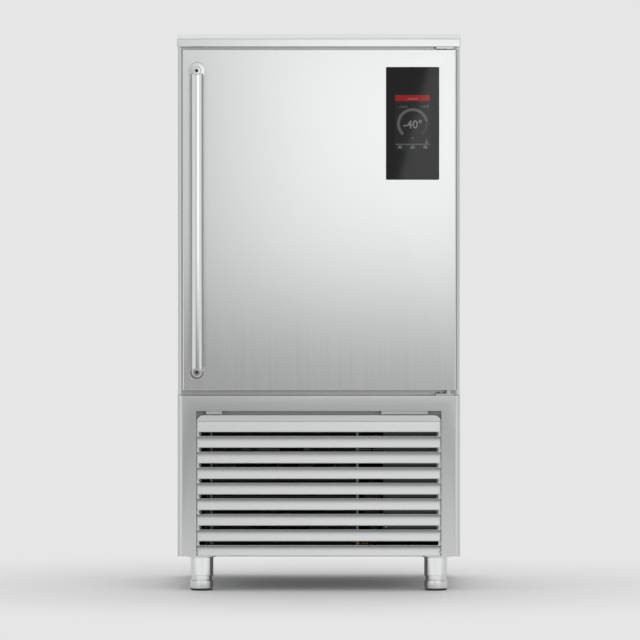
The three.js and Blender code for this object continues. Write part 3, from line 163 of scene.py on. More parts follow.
class ChillerStage(bpy.types.PropertyGroup):
    """Camera, lamps, floor and backdrop."""

    distance: number("Distance", "From the camera to the door's face", 20.0, unit="LENGTH")
    frame_width: number("Frame width", "Width of the picture at the door's face", 1.765, unit="LENGTH")
    eye: number("Eye", "Height of the camera above the floor", 1.27, unit="LENGTH")
    aim: number("Aim", "Height on the door's face at the middle of the picture", 0.75, unit="LENGTH")
    backdrop: number("Backdrop", "Level of the pale backdrop", 0.791, min=0.0, max=1.0)
    ambient: number("Ambient", "Level of the even studio light", 0.62, min=0.0)
    softbox: number("Softbox", "Power of the large lamp at the right", 18.0, unit="POWER")
    overhead: number("Overhead", "Power of the lamp above", 50.0, unit="POWER")
    strip: number("Strip", "Level of the strip light that the glass mirrors", 3.6, min=0.0)
    ceiling: number("Ceiling", "Level of the card above, which the cover mirrors", 1.2, min=0.0)
    floor_card: number("Floor card", "Level of the card on the floor in front", 1.0, min=0.0)
    flag: number("Flags", "Level of the flags at both sides", 0.42, min=0.0)
    side_fill: number("Side fill", "What the cabinet's sides mirror on top of that", 0.4, min=0.0)


GROUPS = {
    "chiller_shell": ChillerShell,
    "chiller_louvres": ChillerLouvres,
    "chiller_handle": ChillerHandle,
    "chiller_display": ChillerDisplay,
    "chiller_cooling": ChillerCooling,
    "chiller_racks": ChillerRacks,
    "chiller_stage": ChillerStage,
}


# ---------------------------------------------------------------- shaping


def block(bm, lo, hi):
    """A box between two corners."""
    lo, hi = Vector(lo), Vector(hi)
    place = Matrix.Translation((lo + hi) / 2) @ Matrix.Diagonal((*(hi - lo), 1))
    return bmesh.ops.create_cube(bm, size=1, matrix=place)["verts"]


def only(kind, geometry):
    """The vertices, the edges or the faces among what an operation gives back."""
    return [g for g in geometry if isinstance(g, kind)]


def ends(edges):
    """The vertices of a line of edges, each once and in the line's order."""
    return list(dict.fromkeys(v for e in edges for v in e.verts))


def lines(spots):
    """The edges that meet in these vertices, each once."""
    return list(dict.fromkeys(e for v in spots for e in v.link_edges))


def lies(edge, axis, level, within=1e-6):
    """Whether an edge lies in a plane across an axis."""
    return all(abs(getattr(v.co, axis) - level) < within for v in edge.verts)


def centre_of(node, axes):
    """The middle of a solid's box along the named axes."""
    lo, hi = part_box(node)
    return tuple((getattr(lo, axis) + getattr(hi, axis)) / 2 for axis in axes)


def quarter(steps, first=0):
    """The angles of a quarter turn in even steps."""
    return [math.pi / 2 * i / steps for i in range(first, steps + 1)]


def scaled(profile, base=0.0, way=1):
    """A profile given in millimetres: radii, and places along the axis counted from a base, up or down."""
    return [(r * MM, base + way * t * MM) for r, t in profile]


def chain(bm, places):
    """A line of edges through points."""
    spots = [bm.verts.new(place) for place in places]
    return [bm.edges.new(pair) for pair in zip(spots, spots[1:])]


def swung(bm, edges, axis, centre, angle, steps, closed=False):
    """Sweeps a line of edges round an axis, and gives the edges at the end of the sweep."""
    made = bmesh.ops.spin(bm, geom=ends(edges) + edges, cent=Vector(centre), axis=AXES[axis], angle=angle,
                          steps=steps, use_merge=closed)
    return only(BMEdge, made["geom_last"])


def turned(bm, axis, centre, profile, steps=48):
    """A solid of revolution: profile runs from pole to pole as (radius, place along the axis)."""
    out = AXES["z" if axis == "x" else "x"]
    edges = chain(bm, [Vector(centre) + out * r + AXES[axis] * t for r, t in profile])
    swung(bm, edges, axis, centre, math.tau, steps, True)
    tidy(bm)


def tidy(bm):
    """Closes poles and seams and turns the faces outwards."""
    bmesh.ops.remove_doubles(bm, verts=bm.verts, dist=1e-6)
    bmesh.ops.recalc_face_normals(bm, faces=bm.faces)


def faced(bm, way, rank=BMFace.calc_area):
    """Turns an open sheet so that its largest face, or the one that ranks first, looks the given way."""
    bmesh.ops.recalc_face_normals(bm, faces=bm.faces)
    if max(bm.faces, key=rank).normal.dot(Vector(way)) < 0:
        bmesh.ops.reverse_faces(bm, faces=bm.faces)


def cut(bm, spot, way, clear=False):
    """Cuts a mesh along a plane, drops what lies past it if asked, and gives the cut's elements."""
    return bmesh.ops.bisect_plane(bm, geom=bm.verts[:] + bm.edges[:] + bm.faces[:], dist=1e-7, plane_co=spot,
                                  plane_no=way, clear_outer=clear)["geom_cut"]


def point(axis, a, b, level):
    """A place given in the plane across an axis: (y, z) for x, (x, z) for y and (x, y) for z."""
    return Vector({"x": (level, a, b), "y": (a, level, b), "z": (a, b, level)}[axis])


def rounded(bm, spots, radius, segments):
    """Rounds the corners of a line and gives the edges of the rounds and beside them."""
    made = bmesh.ops.bevel(bm, geom=spots, offset=radius, offset_type="OFFSET", segments=segments, profile=0.5,
                           affect="VERTICES", material=-1)
    return lines(made["verts"])


def loop(bm, axis, level, corners, radius=0, segments=6):
    """A closed line through corners in the plane across an axis, its corners rounded."""
    spots = [bm.verts.new(point(axis, a, b, level)) for a, b in corners]
    edges = [bm.edges.new((spots[i - 1], spots[i])) for i in range(len(spots))]
    return rounded(bm, spots, radius, segments) if radius else edges


def rectangle(lo, hi):
    """The four corners of a rectangle, given as two opposite ones."""
    return [(lo[0], lo[1]), (hi[0], lo[1]), (hi[0], hi[1]), (lo[0], hi[1])]


def outline(lo, hi, axes="xz", inset=0.0):
    """The four corners of a box in the plane of two axes, drawn in by the inset."""
    a, b = axes
    return rectangle((getattr(lo, a) + inset, getattr(lo, b) + inset),
                     (getattr(hi, a) - inset, getattr(hi, b) - inset))


def circle(bm, axis, level, centre, radius, segments=32):
    """A closed round line in the plane across an axis."""
    turn = {"x": Matrix.Rotation(math.pi / 2, 4, "Y"), "y": Matrix.Rotation(math.pi / 2, 4, "X"),
            "z": Matrix.Identity(4)}[axis]
    place = Matrix.Translation(point(axis, *centre, level)) @ turn
    return lines(bmesh.ops.create_circle(bm, cap_ends=False, radius=radius, segments=segments, matrix=place)["verts"])


def filled(bm, edges, axis):
    """The flat sheet inside the outermost of these lines and outside the others."""
    made = bmesh.ops.triangle_fill(bm, use_beauty=True, use_dissolve=False, edges=edges, normal=AXES[axis])
    return only(BMFace, made["geom"])


def pulled(bm, faces, shift):
    """Gives a flat sheet its thickness."""
    made = bmesh.ops.extrude_face_region(bm, geom=faces)
    bmesh.ops.translate(bm, vec=Vector(shift), verts=only(BMVert, made["geom"]))
    bmesh.ops.recalc_face_normals(bm, faces=bm.faces)


def drawn(bm, edges, shift):
    """Draws a line of edges out into a strip of faces, and gives the strip's far edges."""
    made = bmesh.ops.extrude_edge_only(bm, edges=edges)["geom"]
    bmesh.ops.translate(bm, vec=Vector(shift), verts=only(BMVert, made))
    return only(BMEdge, made)


def folded(bm, edges, axis, centre, angle, steps=10):
    """Bends a line of edges round a corner by so many degrees, and gives the edges at the end of the bend."""
    return swung(bm, edges, axis, centre, math.radians(angle), steps)


def widened(bm, edges, centre, share):
    """Scales a line in a plane across y about its centre."""
    bmesh.ops.scale(bm, vec=(share, 1, share), verts=ends(edges),
                    space=Matrix.Translation((-centre[0], 0, -centre[1])))


def plate(bm, axis, span, corners, radius=0, holes=(), segments=6):
    """A flat plate across an axis, with rounded corners and round holes (centre, radius)."""
    edges = loop(bm, axis, span[0], corners, radius, segments)
    for centre, size in holes:
        edges += circle(bm, axis, span[0], centre, size)
    pulled(bm, filled(bm, edges, axis), AXES[axis] * (span[1] - span[0]))


def eased(bm, width, segments=2, angle=35, keep=None):
    """Breaks the sharp edges of a mesh with a small radius."""
    edges = [e for e in bm.edges if len(e.link_faces) == 2 and e.calc_face_angle(0) > math.radians(angle)
             and (keep is None or keep(e))]
    bmesh.ops.bevel(bm, geom=edges, offset=width, segments=segments, profile=0.5, affect="EDGES", material=-1,
                    clamp_overlap=True)


def placed(bm, name, material):
    """Makes the mesh an object of the scene with one material."""
    mesh = bpy.data.meshes.new(name)
    bm.to_mesh(mesh)
    bm.free()
    mesh.materials.append(material)
    made = bpy.data.objects.new(name, mesh)
    bpy.context.scene.collection.objects.link(made)
    return made


def finished(bm, name, body, material, replaces=(), angle=32, wall=0.0):
    """Makes the mesh a piece that rides on a body, with smooth rounds and crisp edges."""
    piece = placed(bm, name, material)
    mesh = piece.data
    mesh.polygons.foreach_set("use_smooth", [True] * len(mesh.polygons))
    mesh.set_sharp_from_angle(angle=math.radians(angle))
    if wall:
        solid = piece.modifiers.new("wall", "SOLIDIFY")
        solid.thickness = wall
        solid.offset = -1
        solid.use_even_offset = True
    evened = piece.modifiers.new("even", "WEIGHTED_NORMAL")
    evened.keep_sharp = True
    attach(piece, body)
    if replaces:
        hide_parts(*replaces)
    return piece


def carrier(node):
    """The body that a solid belongs to."""
    return next(b for b, members in frame["record"]["behaviour"]["bodies"].items() if node in members)


def dress(material, *nodes):
    """Gives solids whose shape is right their real finish."""
    for node in nodes:
        for slot in frame["nodes"][node].material_slots:
            slot.material = material


def rolled(bm, ring, centre, start, end, depth):
    """Rolls the rim of a round hole in a sheet across y inwards and back, as a fan's inlet is rolled."""
    steps, size = 5, start
    for turn in quarter(steps, 1):
        ring = drawn(bm, ring, (0, depth / steps, 0))
        reached = start - (start - end) * math.sin(turn)
        widened(bm, ring, centre, reached / size)
        size = reached


def hoop(bm, axis, centre, radius, wire, steps=40, sides=6):
    """A closed ring of wire across an axis."""
    place = Vector(centre) + AXES["y" if axis == "x" else "x"] * radius
    along = "y" if axis == "z" else "z"
    flat = [getattr(place, other) for other in "xyz" if other != along]
    swung(bm, circle(bm, along, getattr(place, along), flat, wire, sides), axis, centre, math.tau, steps, True)


def rod(bm, start, end, radius, sides=16):
    """A straight round bar between two points."""
    start, end = Vector(start), Vector(end)
    turn = (end - start).to_track_quat("Z", "Y").to_matrix().to_4x4()
    place = Matrix.Translation((start + end) / 2) @ turn
    bmesh.ops.create_cone(bm, cap_ends=True, cap_tris=False, segments=sides, radius1=radius, radius2=radius,
                          depth=(end - start).length, matrix=place)


def screw_heads(bm, axis, level, rise, spots, radius=4 * MM):
    """Low domed heads with a cross slot's dimple, standing off a flat sheet."""
    for a, b in spots:
        profile = [(0, 0), (radius, 0), (radius * 0.96, rise * 0.35), (radius * 0.7, rise * 0.85),
                   (radius * 0.3, rise), (radius * 0.24, rise * 0.5), (0, rise * 0.4)]
        turned(bm, axis, point(axis, a, b, level), profile, 14)


def recut(node, name, material, soften=0.0, angle=32, subdivide=0):
    """A merged copy of a solid's mesh with its edges eased, which then stands for the solid."""
    source = frame["nodes"][node]
    bm = bmesh.new()
    bm.from_mesh(source.data)
    bmesh.ops.remove_doubles(bm, verts=bm.verts, dist=1e-6)
    bmesh.ops.dissolve_limit(bm, angle_limit=math.radians(1), verts=bm.verts, edges=bm.edges)
    if soften:
        eased(bm, soften)
    piece = finished(bm, name, carrier(node), material, [node], angle)
    if subdivide:
        rounder = piece.modifiers.new("round", "SUBSURF")
        rounder.levels = rounder.render_levels = subdivide
    return piece


# ---------------------------------------------------------------- surfaces


def add(tree, kind, settings=None, links=None):
    """Adds a node, sets its properties, and sets or links its inputs by name or number."""
    made = tree.nodes.new(kind)
    for key, value in (settings or {}).items():
        setattr(made, key, value)
    for key, value in (links or {}).items():
        if isinstance(value, bpy.types.NodeSocket):
            tree.links.new(value, made.inputs[key])
        else:
            made.inputs[key].default_value = value
    return made


def joined(tree, kind, a, b):
    """The outcome of a sum, a product or the like of two levels."""
    return add(tree, "ShaderNodeMath", {"operation": kind}, {0: a, 1: b}).outputs[0]


def blank(name):
    """A new material with an empty node tree, and that tree."""
    material = bpy.data.materials.new(name)
    material.use_nodes = True
    material.node_tree.nodes.clear()
    return material, material.node_tree


def grey(level):
    """A neutral colour of a linear level."""
    return (level, level, level, 1.0)


MADE = {}


def surface(name, colour, roughness, metallic=0.0, grain=(300, 300, 300), fleck=0.05, bump=0.0002, depth=2.0,
            spread=0.06, level=None, coat=0.0, glow=0.0, patch=None):
    """A shaded surface whose tint, roughness and relief vary with one stretched noise on Object coordinates.

    grain is the noise's scale along x, y and z in cells a metre; fleck is how far the tint swings; spread how
    far the roughness does; bump the relief's height in metres; patch the scale of a second, broad variation.
    """
    if name in MADE:
        return MADE[name]
    material, tree = blank(name)
    place = add(tree, "ShaderNodeTexCoord").outputs["Object"]
    stretched = add(tree, "ShaderNodeMapping", links={"Vector": place, "Scale": grain}).outputs["Vector"]
    noise = add(tree, "ShaderNodeTexNoise", links={"Vector": stretched, "Scale": 1.0, "Detail": depth}).outputs["Fac"]
    if patch:
        broad = add(tree, "ShaderNodeTexNoise", links={"Vector": place, "Scale": patch, "Detail": 1.0}).outputs["Fac"]
        noise = add(tree, "ShaderNodeMix", {"data_type": "FLOAT"}, {"Factor": 0.5, "A": noise, "B": broad}).outputs[0]
    base = linear(colour)
    dark, light = (tuple(min(1.0, c * (1 + s * fleck)) for c in base[:3]) + (1.0,) for s in (-1, 1))
    tint = add(tree, "ShaderNodeMix", {"data_type": "RGBA"}, {"Factor": noise, "A": dark, "B": light}).outputs[2]
    rough = add(tree, "ShaderNodeMapRange", links={"Value": noise, "To Min": max(0.02, roughness - spread),
                                                    "To Max": roughness + spread}).outputs[0]
    relief = add(tree, "ShaderNodeBump", links={"Strength": 1.0, "Distance": bump, "Height": noise}).outputs["Normal"]
    shader = add(tree, "ShaderNodeBsdfPrincipled",
                 links={"Base Color": tint, "Metallic": metallic, "Roughness": rough, "Normal": relief})
    if level is not None:
        shader.inputs["Specular IOR Level"].default_value = level
    if coat:
        shader.inputs["Coat Weight"].default_value = coat
        shader.inputs["Coat Roughness"].default_value = 0.1
    if glow:
        shader.inputs["Emission Color"].default_value = base
        shader.inputs["Emission Strength"].default_value = glow
    add(tree, "ShaderNodeOutputMaterial", links={"Surface": shader.outputs["BSDF"]})
    MADE[name] = material
    return material


def brushed_upright():
    """Austenitic stainless steel brushed along its height: long faint upright streaks, satin reflections.

    The real scratches are some 0.1 mm apart; the streaks are drawn 2 to 3 mm wide so that they show.
    """
    return surface("brushed_stainless_upright", "#C9CACA", 0.24, 1.0, (380, 380, 2.5), 0.03, 0.00002, 3, 0.03)


def brushed_level():
    """The same sheet with its grain laid level, as on the louvres, the frame and the cover: streaks run across."""
    return surface("brushed_stainless_level", "#C9CACA", 0.24, 1.0, (2.5, 2.5, 380), 0.03, 0.00002, 3, 0.03)


def pressed_steel():
    """The level-grained sheet of the louvres, dulled a little by the press: broader, softer reflections."""
    return surface("pressed_stainless_level", "#C9CACA", 0.38, 1.0, (2.5, 2.5, 380), 0.03, 0.00002, 3, 0.03)


def polished_steel():
    """Bright drawn stainless steel, polished: near-mirror reflections with the faintest haze."""
    return surface("polished_stainless", "#CFD0D0", 0.14, 1.0, (60, 60, 60), 0.02, 0.00001, 2, 0.03)


def turned_steel():
    """Stainless tube turned and buffed, as on the feet, with a soft haze. Its tint is lighter than the brushed sheet as
    a painted highlight: it stands in for brighter reflections.
    """
    return surface("buffed_stainless_tube", "#E2E3E3", 0.16, 1.0, (20, 20, 500), 0.02, 0.00001, 2, 0.03)


def satin_steel():
    """Formed stainless steel with a pickled satin finish, as on racks and brackets: soft, slightly uneven gloss."""
    return surface("satin_stainless", "#BFC0C0", 0.3, 1.0, (120, 120, 120), 0.03, 0.000004, 2, 0.04)


def galvanised():
    """Hot-dip galvanised sheet: dull grey zinc with cloudy crystals some 10 mm across."""
    return surface("galvanised_sheet", "#A3A7A9", 0.48, 1.0, (110, 110, 110), 0.16, 0.00003, 1, 0.12, patch=35)


def foam():
    """Poured polyurethane foam, pale straw, matt, with small closed cells."""
    return surface("polyurethane_foam", "#E0D3A4", 0.92, 0.0, (700, 700, 700), 0.1, 0.0003, 2, 0.03, 0.25)


def rubber():
    """Extruded dark grey PVC rubber, soft and nearly matt."""
    return surface("gasket_rubber", "#3A3A3C", 0.72, 0.0, (200, 200, 200), 0.08, 0.00005, 2, 0.06, 0.4)


def tinted_glass():
    """Toughened glass printed dark from behind: almost black, glossy, with a weak clear reflection."""
    return surface("tinted_glass", "#0B0809", 0.05, 0.0, (40, 40, 40), 0.03, 0.0, 1, 0.01, 0.125)


def moulded_black():
    """Glass-filled nylon, moulded and matt, dark grey, with a fine spark-eroded texture."""
    return surface("moulded_nylon_black", "#2B2B2D", 0.55, 0.0, (900, 900, 900), 0.1, 0.00006, 2, 0.06)


def moulded_grey():
    """Moulded mid-grey ABS with a slight gloss."""
    return surface("moulded_abs_grey", "#AEB0B1", 0.5, 0.0, (900, 900, 900), 0.05, 0.00004, 2, 0.05)


def black_enamel():
    """Black stoving enamel on a steel shell: semi-gloss with a little orange peel."""
    return surface("black_enamel", "#1E1E20", 0.3, 0.0, (160, 160, 160), 0.06, 0.00012, 1, 0.04, coat=0.3)


def fin_metal():
    """Rolled aluminium fin stock: pale, thin, with dull light along its edges."""
    return surface("aluminium_fin", "#BDC1C3", 0.4, 1.0, (30, 30, 400), 0.08, 0.00002, 2, 0.08)


def coated_fin():
    """The same fin stock coloured dark grey and half matt: painted shade for the dark behind the louvre slots."""
    return surface("black_coated_fin", "#45474A", 0.5, 0.0, (30, 30, 400), 0.12, 0.00002, 2, 0.08)


def insulation_tube():
    """Closed-cell rubber tube round the cold suction line: black, soft and matt with a fine skin."""
    return surface("elastomer_foam_tube", "#262628", 0.85, 0.0, (500, 500, 500), 0.12, 0.0002, 2, 0.05, 0.3)


def copper():
    """Drawn copper tube, lightly tarnished: warm and bright with darker clouds."""
    return surface("copper_tube", "#B9714F", 0.28, 1.0, (60, 60, 60), 0.14, 0.00002, 3, 0.1)


def laminate():
    """Green solder-masked glass-fibre laminate with a little gloss."""
    return surface("circuit_laminate", "#2F6A45", 0.4, 0.0, (260, 260, 260), 0.2, 0.00005, 2, 0.08)


# ---------------------------------------------------------------- operators


class Builder(bpy.types.Operator):
    """Shared ground of the chiller's operators."""

    bl_idname = "chiller.builder"
    bl_label = "Chiller builder"

    def execute(self, context):
        """Builds the pieces; a failure stops the script with its own message."""
        self.build(context.scene)
        return {"FINISHED"}

    def build(self, scene):
        """Overridden by each operator."""


class CHILLER_OT_cabinet(Builder):
    """Folds the side panels and the top cover and finishes the cabinet's other sheets."""

    bl_idname = "chiller.cabinet"
    bl_label = "Cabinet shell"

    def build(self, scene):
        shell = scene.chiller_shell
        for side, node in ((-1, "side_panel_left"), (1, "side_panel_right")):
            self.side_panel(shell, side, node)
        self.top_cover(shell)
        self.rear(shell)
        dress(galvanised(), "base_tray", "compartment_roof")
        dress(satin_steel(), "chamber_collar")
        dress(foam(), "cabinet_insulation", "door_insulation")

    def rear(self, shell):
        """The rear sheet keeps its vents, each under a pressed hood, and its screws."""
        lo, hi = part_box("rear_panel")
        recut("rear_panel", "rear_sheet", galvanised())
        reach = shell.vent_hood
        rows, first, pitch = 9, 103, 26  # the slots in the sheet, millimetres above its foot
        bm = bmesh.new()
        for side in (-1, 1):
            inner, outer = side * 23 * MM, side * 277 * MM
            swell = [(e * MM * side, share) for e, share in ((0, 0), (1.5, 0.5), (4, 0.85), (8, 1))]
            columns = [(inner + e, share) for e, share in swell]
            columns += [(outer - e, share) for e, share in reversed(swell)]
            for row in range(rows):
                z = lo.z + (first + pitch * row) * MM
                path = [(0, 11 * MM), (reach * 0.45, 10.4 * MM), (reach * 0.85, 7.5 * MM), (reach, 3 * MM),
                        (reach, -1.6 * MM)]
                edges = chain(bm, [(inner, hi.y, z + rise) for _, rise in path])
                for (a, _), (b, share) in zip(columns, columns[1:]):
                    edges = drawn(bm, edges, (b - a, 0, 0))
                    for v in ends(edges):
                        out = next(o for o, rise in path if abs(v.co.z - z - rise) < 1e-6)
                        v.co.y = hi.y + 0.1 * MM + out * share
        bmesh.ops.recalc_face_normals(bm, faces=bm.faces)
        if sum(f.normal.y * f.calc_area() for f in bm.faces) < 0:
            bmesh.ops.reverse_faces(bm, faces=bm.faces)
        finished(bm, "rear_vent_hoods", "cabinet", galvanised(), wall=0.9 * MM)
        bm = bmesh.new()
        edge, rise = 14 * MM, hi.z - lo.z
        spots = [(x, z) for x in (lo.x + edge, 0.0, hi.x - edge) for z in (lo.z + edge, hi.z - edge)]
        spots += [(x, lo.z + rise * share) for x in (lo.x + edge, hi.x - edge) for share in (0.2, 0.4, 0.6, 0.8)]
        screw_heads(bm, "y", hi.y, 2.2 * MM, spots)
        finished(bm, "rear_screws", "cabinet", satin_steel())

    def side_panel(self, shell, side, node):
        """One sheet a side: its front edge is folded round, nearer the front beside the louvres."""
        lo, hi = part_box(node)
        x = lo.x if side < 0 else hi.x
        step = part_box("lower_front_frame")[1].z
        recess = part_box("chamber_collar")[0].y + shell.upper_fold
        bm = bmesh.new()
        low, mid, high = ([bm.verts.new((x, y, z)) for y in (hi.y, recess)] for z in (lo.z, step, hi.z))
        for a, b in ((low, mid), (mid, high)):
            bm.faces.new((a[0], a[1], b[1], b[0]))
        front = lo.y + shell.lower_fold
        below = drawn(bm, [bm.edges.get((low[1], mid[1]))], (0, front - recess, 0))
        folded(bm, below, "z", (x - side * shell.lower_fold, front, 0), -90 * side, 12)
        folded(bm, [bm.edges.get((mid[1], high[1]))], "z", (x - side * shell.upper_fold, recess, 0), -90 * side, 10)
        tidy(bm)
        faced(bm, (side, 0, 0))
        finished(bm, node + "_sheet", "cabinet", brushed_upright(), [node], wall=shell.sheet)

    def top_cover(self, shell):
        """A lid with an upright lip, a sloping front edge and a flange turned in under the overhang."""
        lo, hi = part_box("top_cover")
        bm = bmesh.new()
        block(bm, lo, hi)
        slope = Vector((0, -(hi.z - lo.z - shell.cap_lip), shell.cap_slope))
        made = cut(bm, (0, lo.y, lo.z + shell.cap_lip), slope, True)
        bmesh.ops.edgeloop_fill(bm, edges=only(BMEdge, made))
        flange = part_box("chamber_collar")[0].y
        cut(bm, (0, flange, 0), AXES["y"])
        under = [f for f in bm.faces if f.normal.z < -0.9 and f.calc_center_median().y > flange]
        bmesh.ops.delete(bm, geom=under, context="FACES")
        faced(bm, AXES["z"])
        eased(bm, 1.6 * MM, 3, 15)
        finished(bm, "top_cover_sheet", "cabinet", brushed_level(), ["top_cover"],
                 wall=shell.sheet)


class CHILLER_OT_door(Builder):
    """Folds the door's skin, presses its inner panel and lays its gasket."""

    bl_idname = "chiller.door"
    bl_label = "Door"

    def build(self, scene):
        shell = scene.chiller_shell
        self.skin(shell)
        self.inner_panel(shell)
        self.gasket()

    def skin(self, shell):
        """The outer skin: rounded upright edges, a window for the control glass, bush holes at both ends."""
        lo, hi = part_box("door_skin")
        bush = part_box("hinge_bush_top")
        gap, r = 0.4 * MM, shell.door_fold
        bm = bmesh.new()
        edges = loop(bm, "y", lo.y, rectangle((lo.x + r, lo.z), (hi.x - r, hi.z)))
        edges += loop(bm, "y", lo.y, outline(*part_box("control_glass"), inset=-gap), 3 * MM)
        filled(bm, edges, "y")
        for side, x in ((-1, lo.x + r), (1, hi.x - r)):
            last = folded(bm, [e for e in bm.edges if lies(e, "x", x)], "z", (x, lo.y + r, 0), 90 * side)
            drawn(bm, last, (0, hi.y - lo.y - r, 0))
        bmesh.ops.remove_doubles(bm, verts=bm.verts, dist=1e-6)
        for z in (lo.z, hi.z):
            rim = [e for e in bm.edges if e.is_boundary and lies(e, "z", z)]
            rim.append(bm.edges.new([v for e in rim for v in e.verts if abs(v.co.y - hi.y) < 1e-6]))
            rim += circle(bm, "z", z, centre_of("hinge_bush_top", "xy"), (bush[1].x - bush[0].x) / 2 + gap, 24)
            filled(bm, rim, "z")
        faced(bm, -AXES["y"])
        eased(bm, 1.2 * MM, 3, 60, lambda e: e.calc_length() > 0.5 and (lies(e, "z", lo.z) or lies(e, "z", hi.z)))
        finished(bm, "door_outer_skin", "door", brushed_upright(), ["door_skin"],
                 wall=shell.sheet)

    def inner_panel(self, shell):
        """The pan that closes the door's back, with a swelling that enters the chamber's mouth."""
        lo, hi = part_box("door_inner_panel")
        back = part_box("door_skin")[1].y
        bm = bmesh.new()
        rim = loop(bm, "y", back, outline(*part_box("inner_liner"), inset=9 * MM), shell.liner_corner, 8)
        filled(bm, loop(bm, "y", back, outline(lo, hi)) + rim, "y")
        filled(bm, drawn(bm, rim, (0, hi.y - back, 0)), "y")
        faced(bm, AXES["y"])
        eased(bm, 3 * MM, 3, 60, lambda e: e.verts[0].co.y > back + 1e-5 or e.verts[1].co.y > back + 1e-5)
        finished(bm, "door_inner_pan", "door", brushed_upright(), ["door_inner_panel"],
                 wall=1 * MM)

    def gasket(self):
        """An extruded ring: a flat foot, a hollow bellows drawn as a round bead, and a groove between."""
        lo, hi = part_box("door_gasket")
        depth = hi.y - lo.y
        bm = bmesh.new()
        profile = [(0, 0.06), (0.0, 0.32), (2.4, 0.36), (2.4, 0.48), (0.6, 0.56), (0.0, 0.78), (2.2, 0.96), (6, 1.0),
                   (14, 1.0), (17.8, 0.96), (20, 0.78), (19.4, 0.56), (17.6, 0.48), (17.6, 0.36), (20, 0.32),
                   (20, 0.06), (19, 0.0), (1, 0.0)]
        middle, corner = (lo + hi) / 2, 41 * MM
        edges = loop(bm, "y", lo.y, outline(lo, hi), corner, 8)
        for step, (inward, rise) in enumerate(profile + profile[:1]):
            if step:
                edges = drawn(bm, edges, (0, 0, 0))
            for v in ends(edges):
                centre = Vector((math.copysign(hi.x - middle.x - corner, v.co.x - middle.x) + middle.x, v.co.y,
                                 math.copysign(hi.z - middle.z - corner, v.co.z - middle.z) + middle.z))
                v.co = centre + (v.co - centre).normalized() * (corner - inward * MM)
                v.co.y = lo.y + depth * rise
        tidy(bm)
        finished(bm, "door_seal", "door", rubber(), ["door_gasket"])


class CHILLER_OT_handle(Builder):
    """Shapes the bar handle, its two round mounts and their screws."""

    bl_idname = "chiller.handle"
    bl_label = "Handle"

    def build(self, scene):
        handle = scene.chiller_handle
        self.bar(handle)
        for place in ("lower", "upper"):
            centre = centre_of("handle_mount_" + place, "xz")
            self.mount(handle, place, centre)
            self.screw(place, centre)

    def bar(self, handle):
        """A crowned strip whose ends are hollowed to lie against the round stems."""
        lo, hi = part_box("handle_bar")
        half, depth = (hi.x - lo.x) / 2, hi.y - lo.y
        middle, = centre_of("handle_bar", "x")
        low, high = (centre_of("handle_mount_" + place, "z")[0] for place in ("lower", "upper"))
        seat = handle.stem + 0.3 * MM
        strips = 28
        bm = bmesh.new()
        block(bm, lo, hi)
        for i in range(1, strips):
            cut(bm, (middle - half * math.cos(math.pi * i / strips), 0, 0), AXES["x"])
        for v in bm.verts:
            across = min(1.0, abs(v.co.x - middle) / half)
            if v.co.y < (lo.y + hi.y) / 2:
                crown = math.sqrt(1 - across * across)
                v.co.y = hi.y - depth * (handle.edge + (1 - handle.edge) * crown)
            off = max(0.8 * handle.stem, math.sqrt(max(0.0, seat ** 2 - (across * half) ** 2)))
            v.co.z = low + off if v.co.z < (low + high) / 2 else high - off
        eased(bm, 1.2 * MM, 3, 60)
        finished(bm, "handle_grip_bar", "door", polished_steel(), ["handle_bar"], angle=40)

    def mount(self, handle, place, centre):
        """A turned rosette with a softly domed rim and a stem with a recessed screw."""
        lo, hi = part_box("handle_mount_" + place)
        wide, flange = (hi.x - lo.x) / 2, hi.y - handle.flange
        r, s = handle.stem, handle.socket
        profile = [(0, hi.y), (wide - 0.6 * MM, hi.y), (wide, hi.y - 0.6 * MM)]
        profile += [(wide - 2 * MM * (1 - math.cos(turn)), flange + 2 * MM * (1 - math.sin(turn)))
                    for turn in quarter(4)]
        profile += [(r + 2.5 * MM, flange), (r + 0.8 * MM, flange - 0.4 * MM), (r, flange - 2 * MM),
                    (r, lo.y + 1.6 * MM)]
        profile += [(r - 1.6 * MM * (1 - math.cos(turn)), lo.y + 1.6 * MM * (1 - math.sin(turn)))
                    for turn in quarter(4, 1)]
        profile += [(s + 0.5 * MM, lo.y), (s, lo.y + 0.5 * MM), (s, lo.y + 9 * MM), (0, lo.y + 9 * MM)]
        bm = bmesh.new()
        turned(bm, "y", (centre[0], 0, centre[1]), profile, 56)
        finished(bm, "handle_rosette_" + place, "door", polished_steel(), ["handle_mount_" + place])

    def screw(self, place, centre):
        """A black socket screw at the bottom of the recess."""
        lo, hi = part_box("handle_screw_" + place)
        r, chamfer, well = (hi.x - lo.x) / 2, 0.5 * MM, 2.4 * MM
        bm = bmesh.new()
        edges = circle(bm, "y", lo.y, centre, r - chamfer, 24)
        key = circle(bm, "y", lo.y, centre, r * 0.5, 6)
        filled(bm, edges + key, "y")
        filled(bm, drawn(bm, key, (0, well, 0)), "y")
        rim = drawn(bm, edges, (0, chamfer, 0))
        widened(bm, rim, centre, r / (r - chamfer))
        filled(bm, drawn(bm, rim, (0, hi.y - lo.y - chamfer, 0)), "y")
        tidy(bm)
        finished(bm, "handle_socket_screw_" + place, "door", black_enamel(), ["handle_screw_" + place])


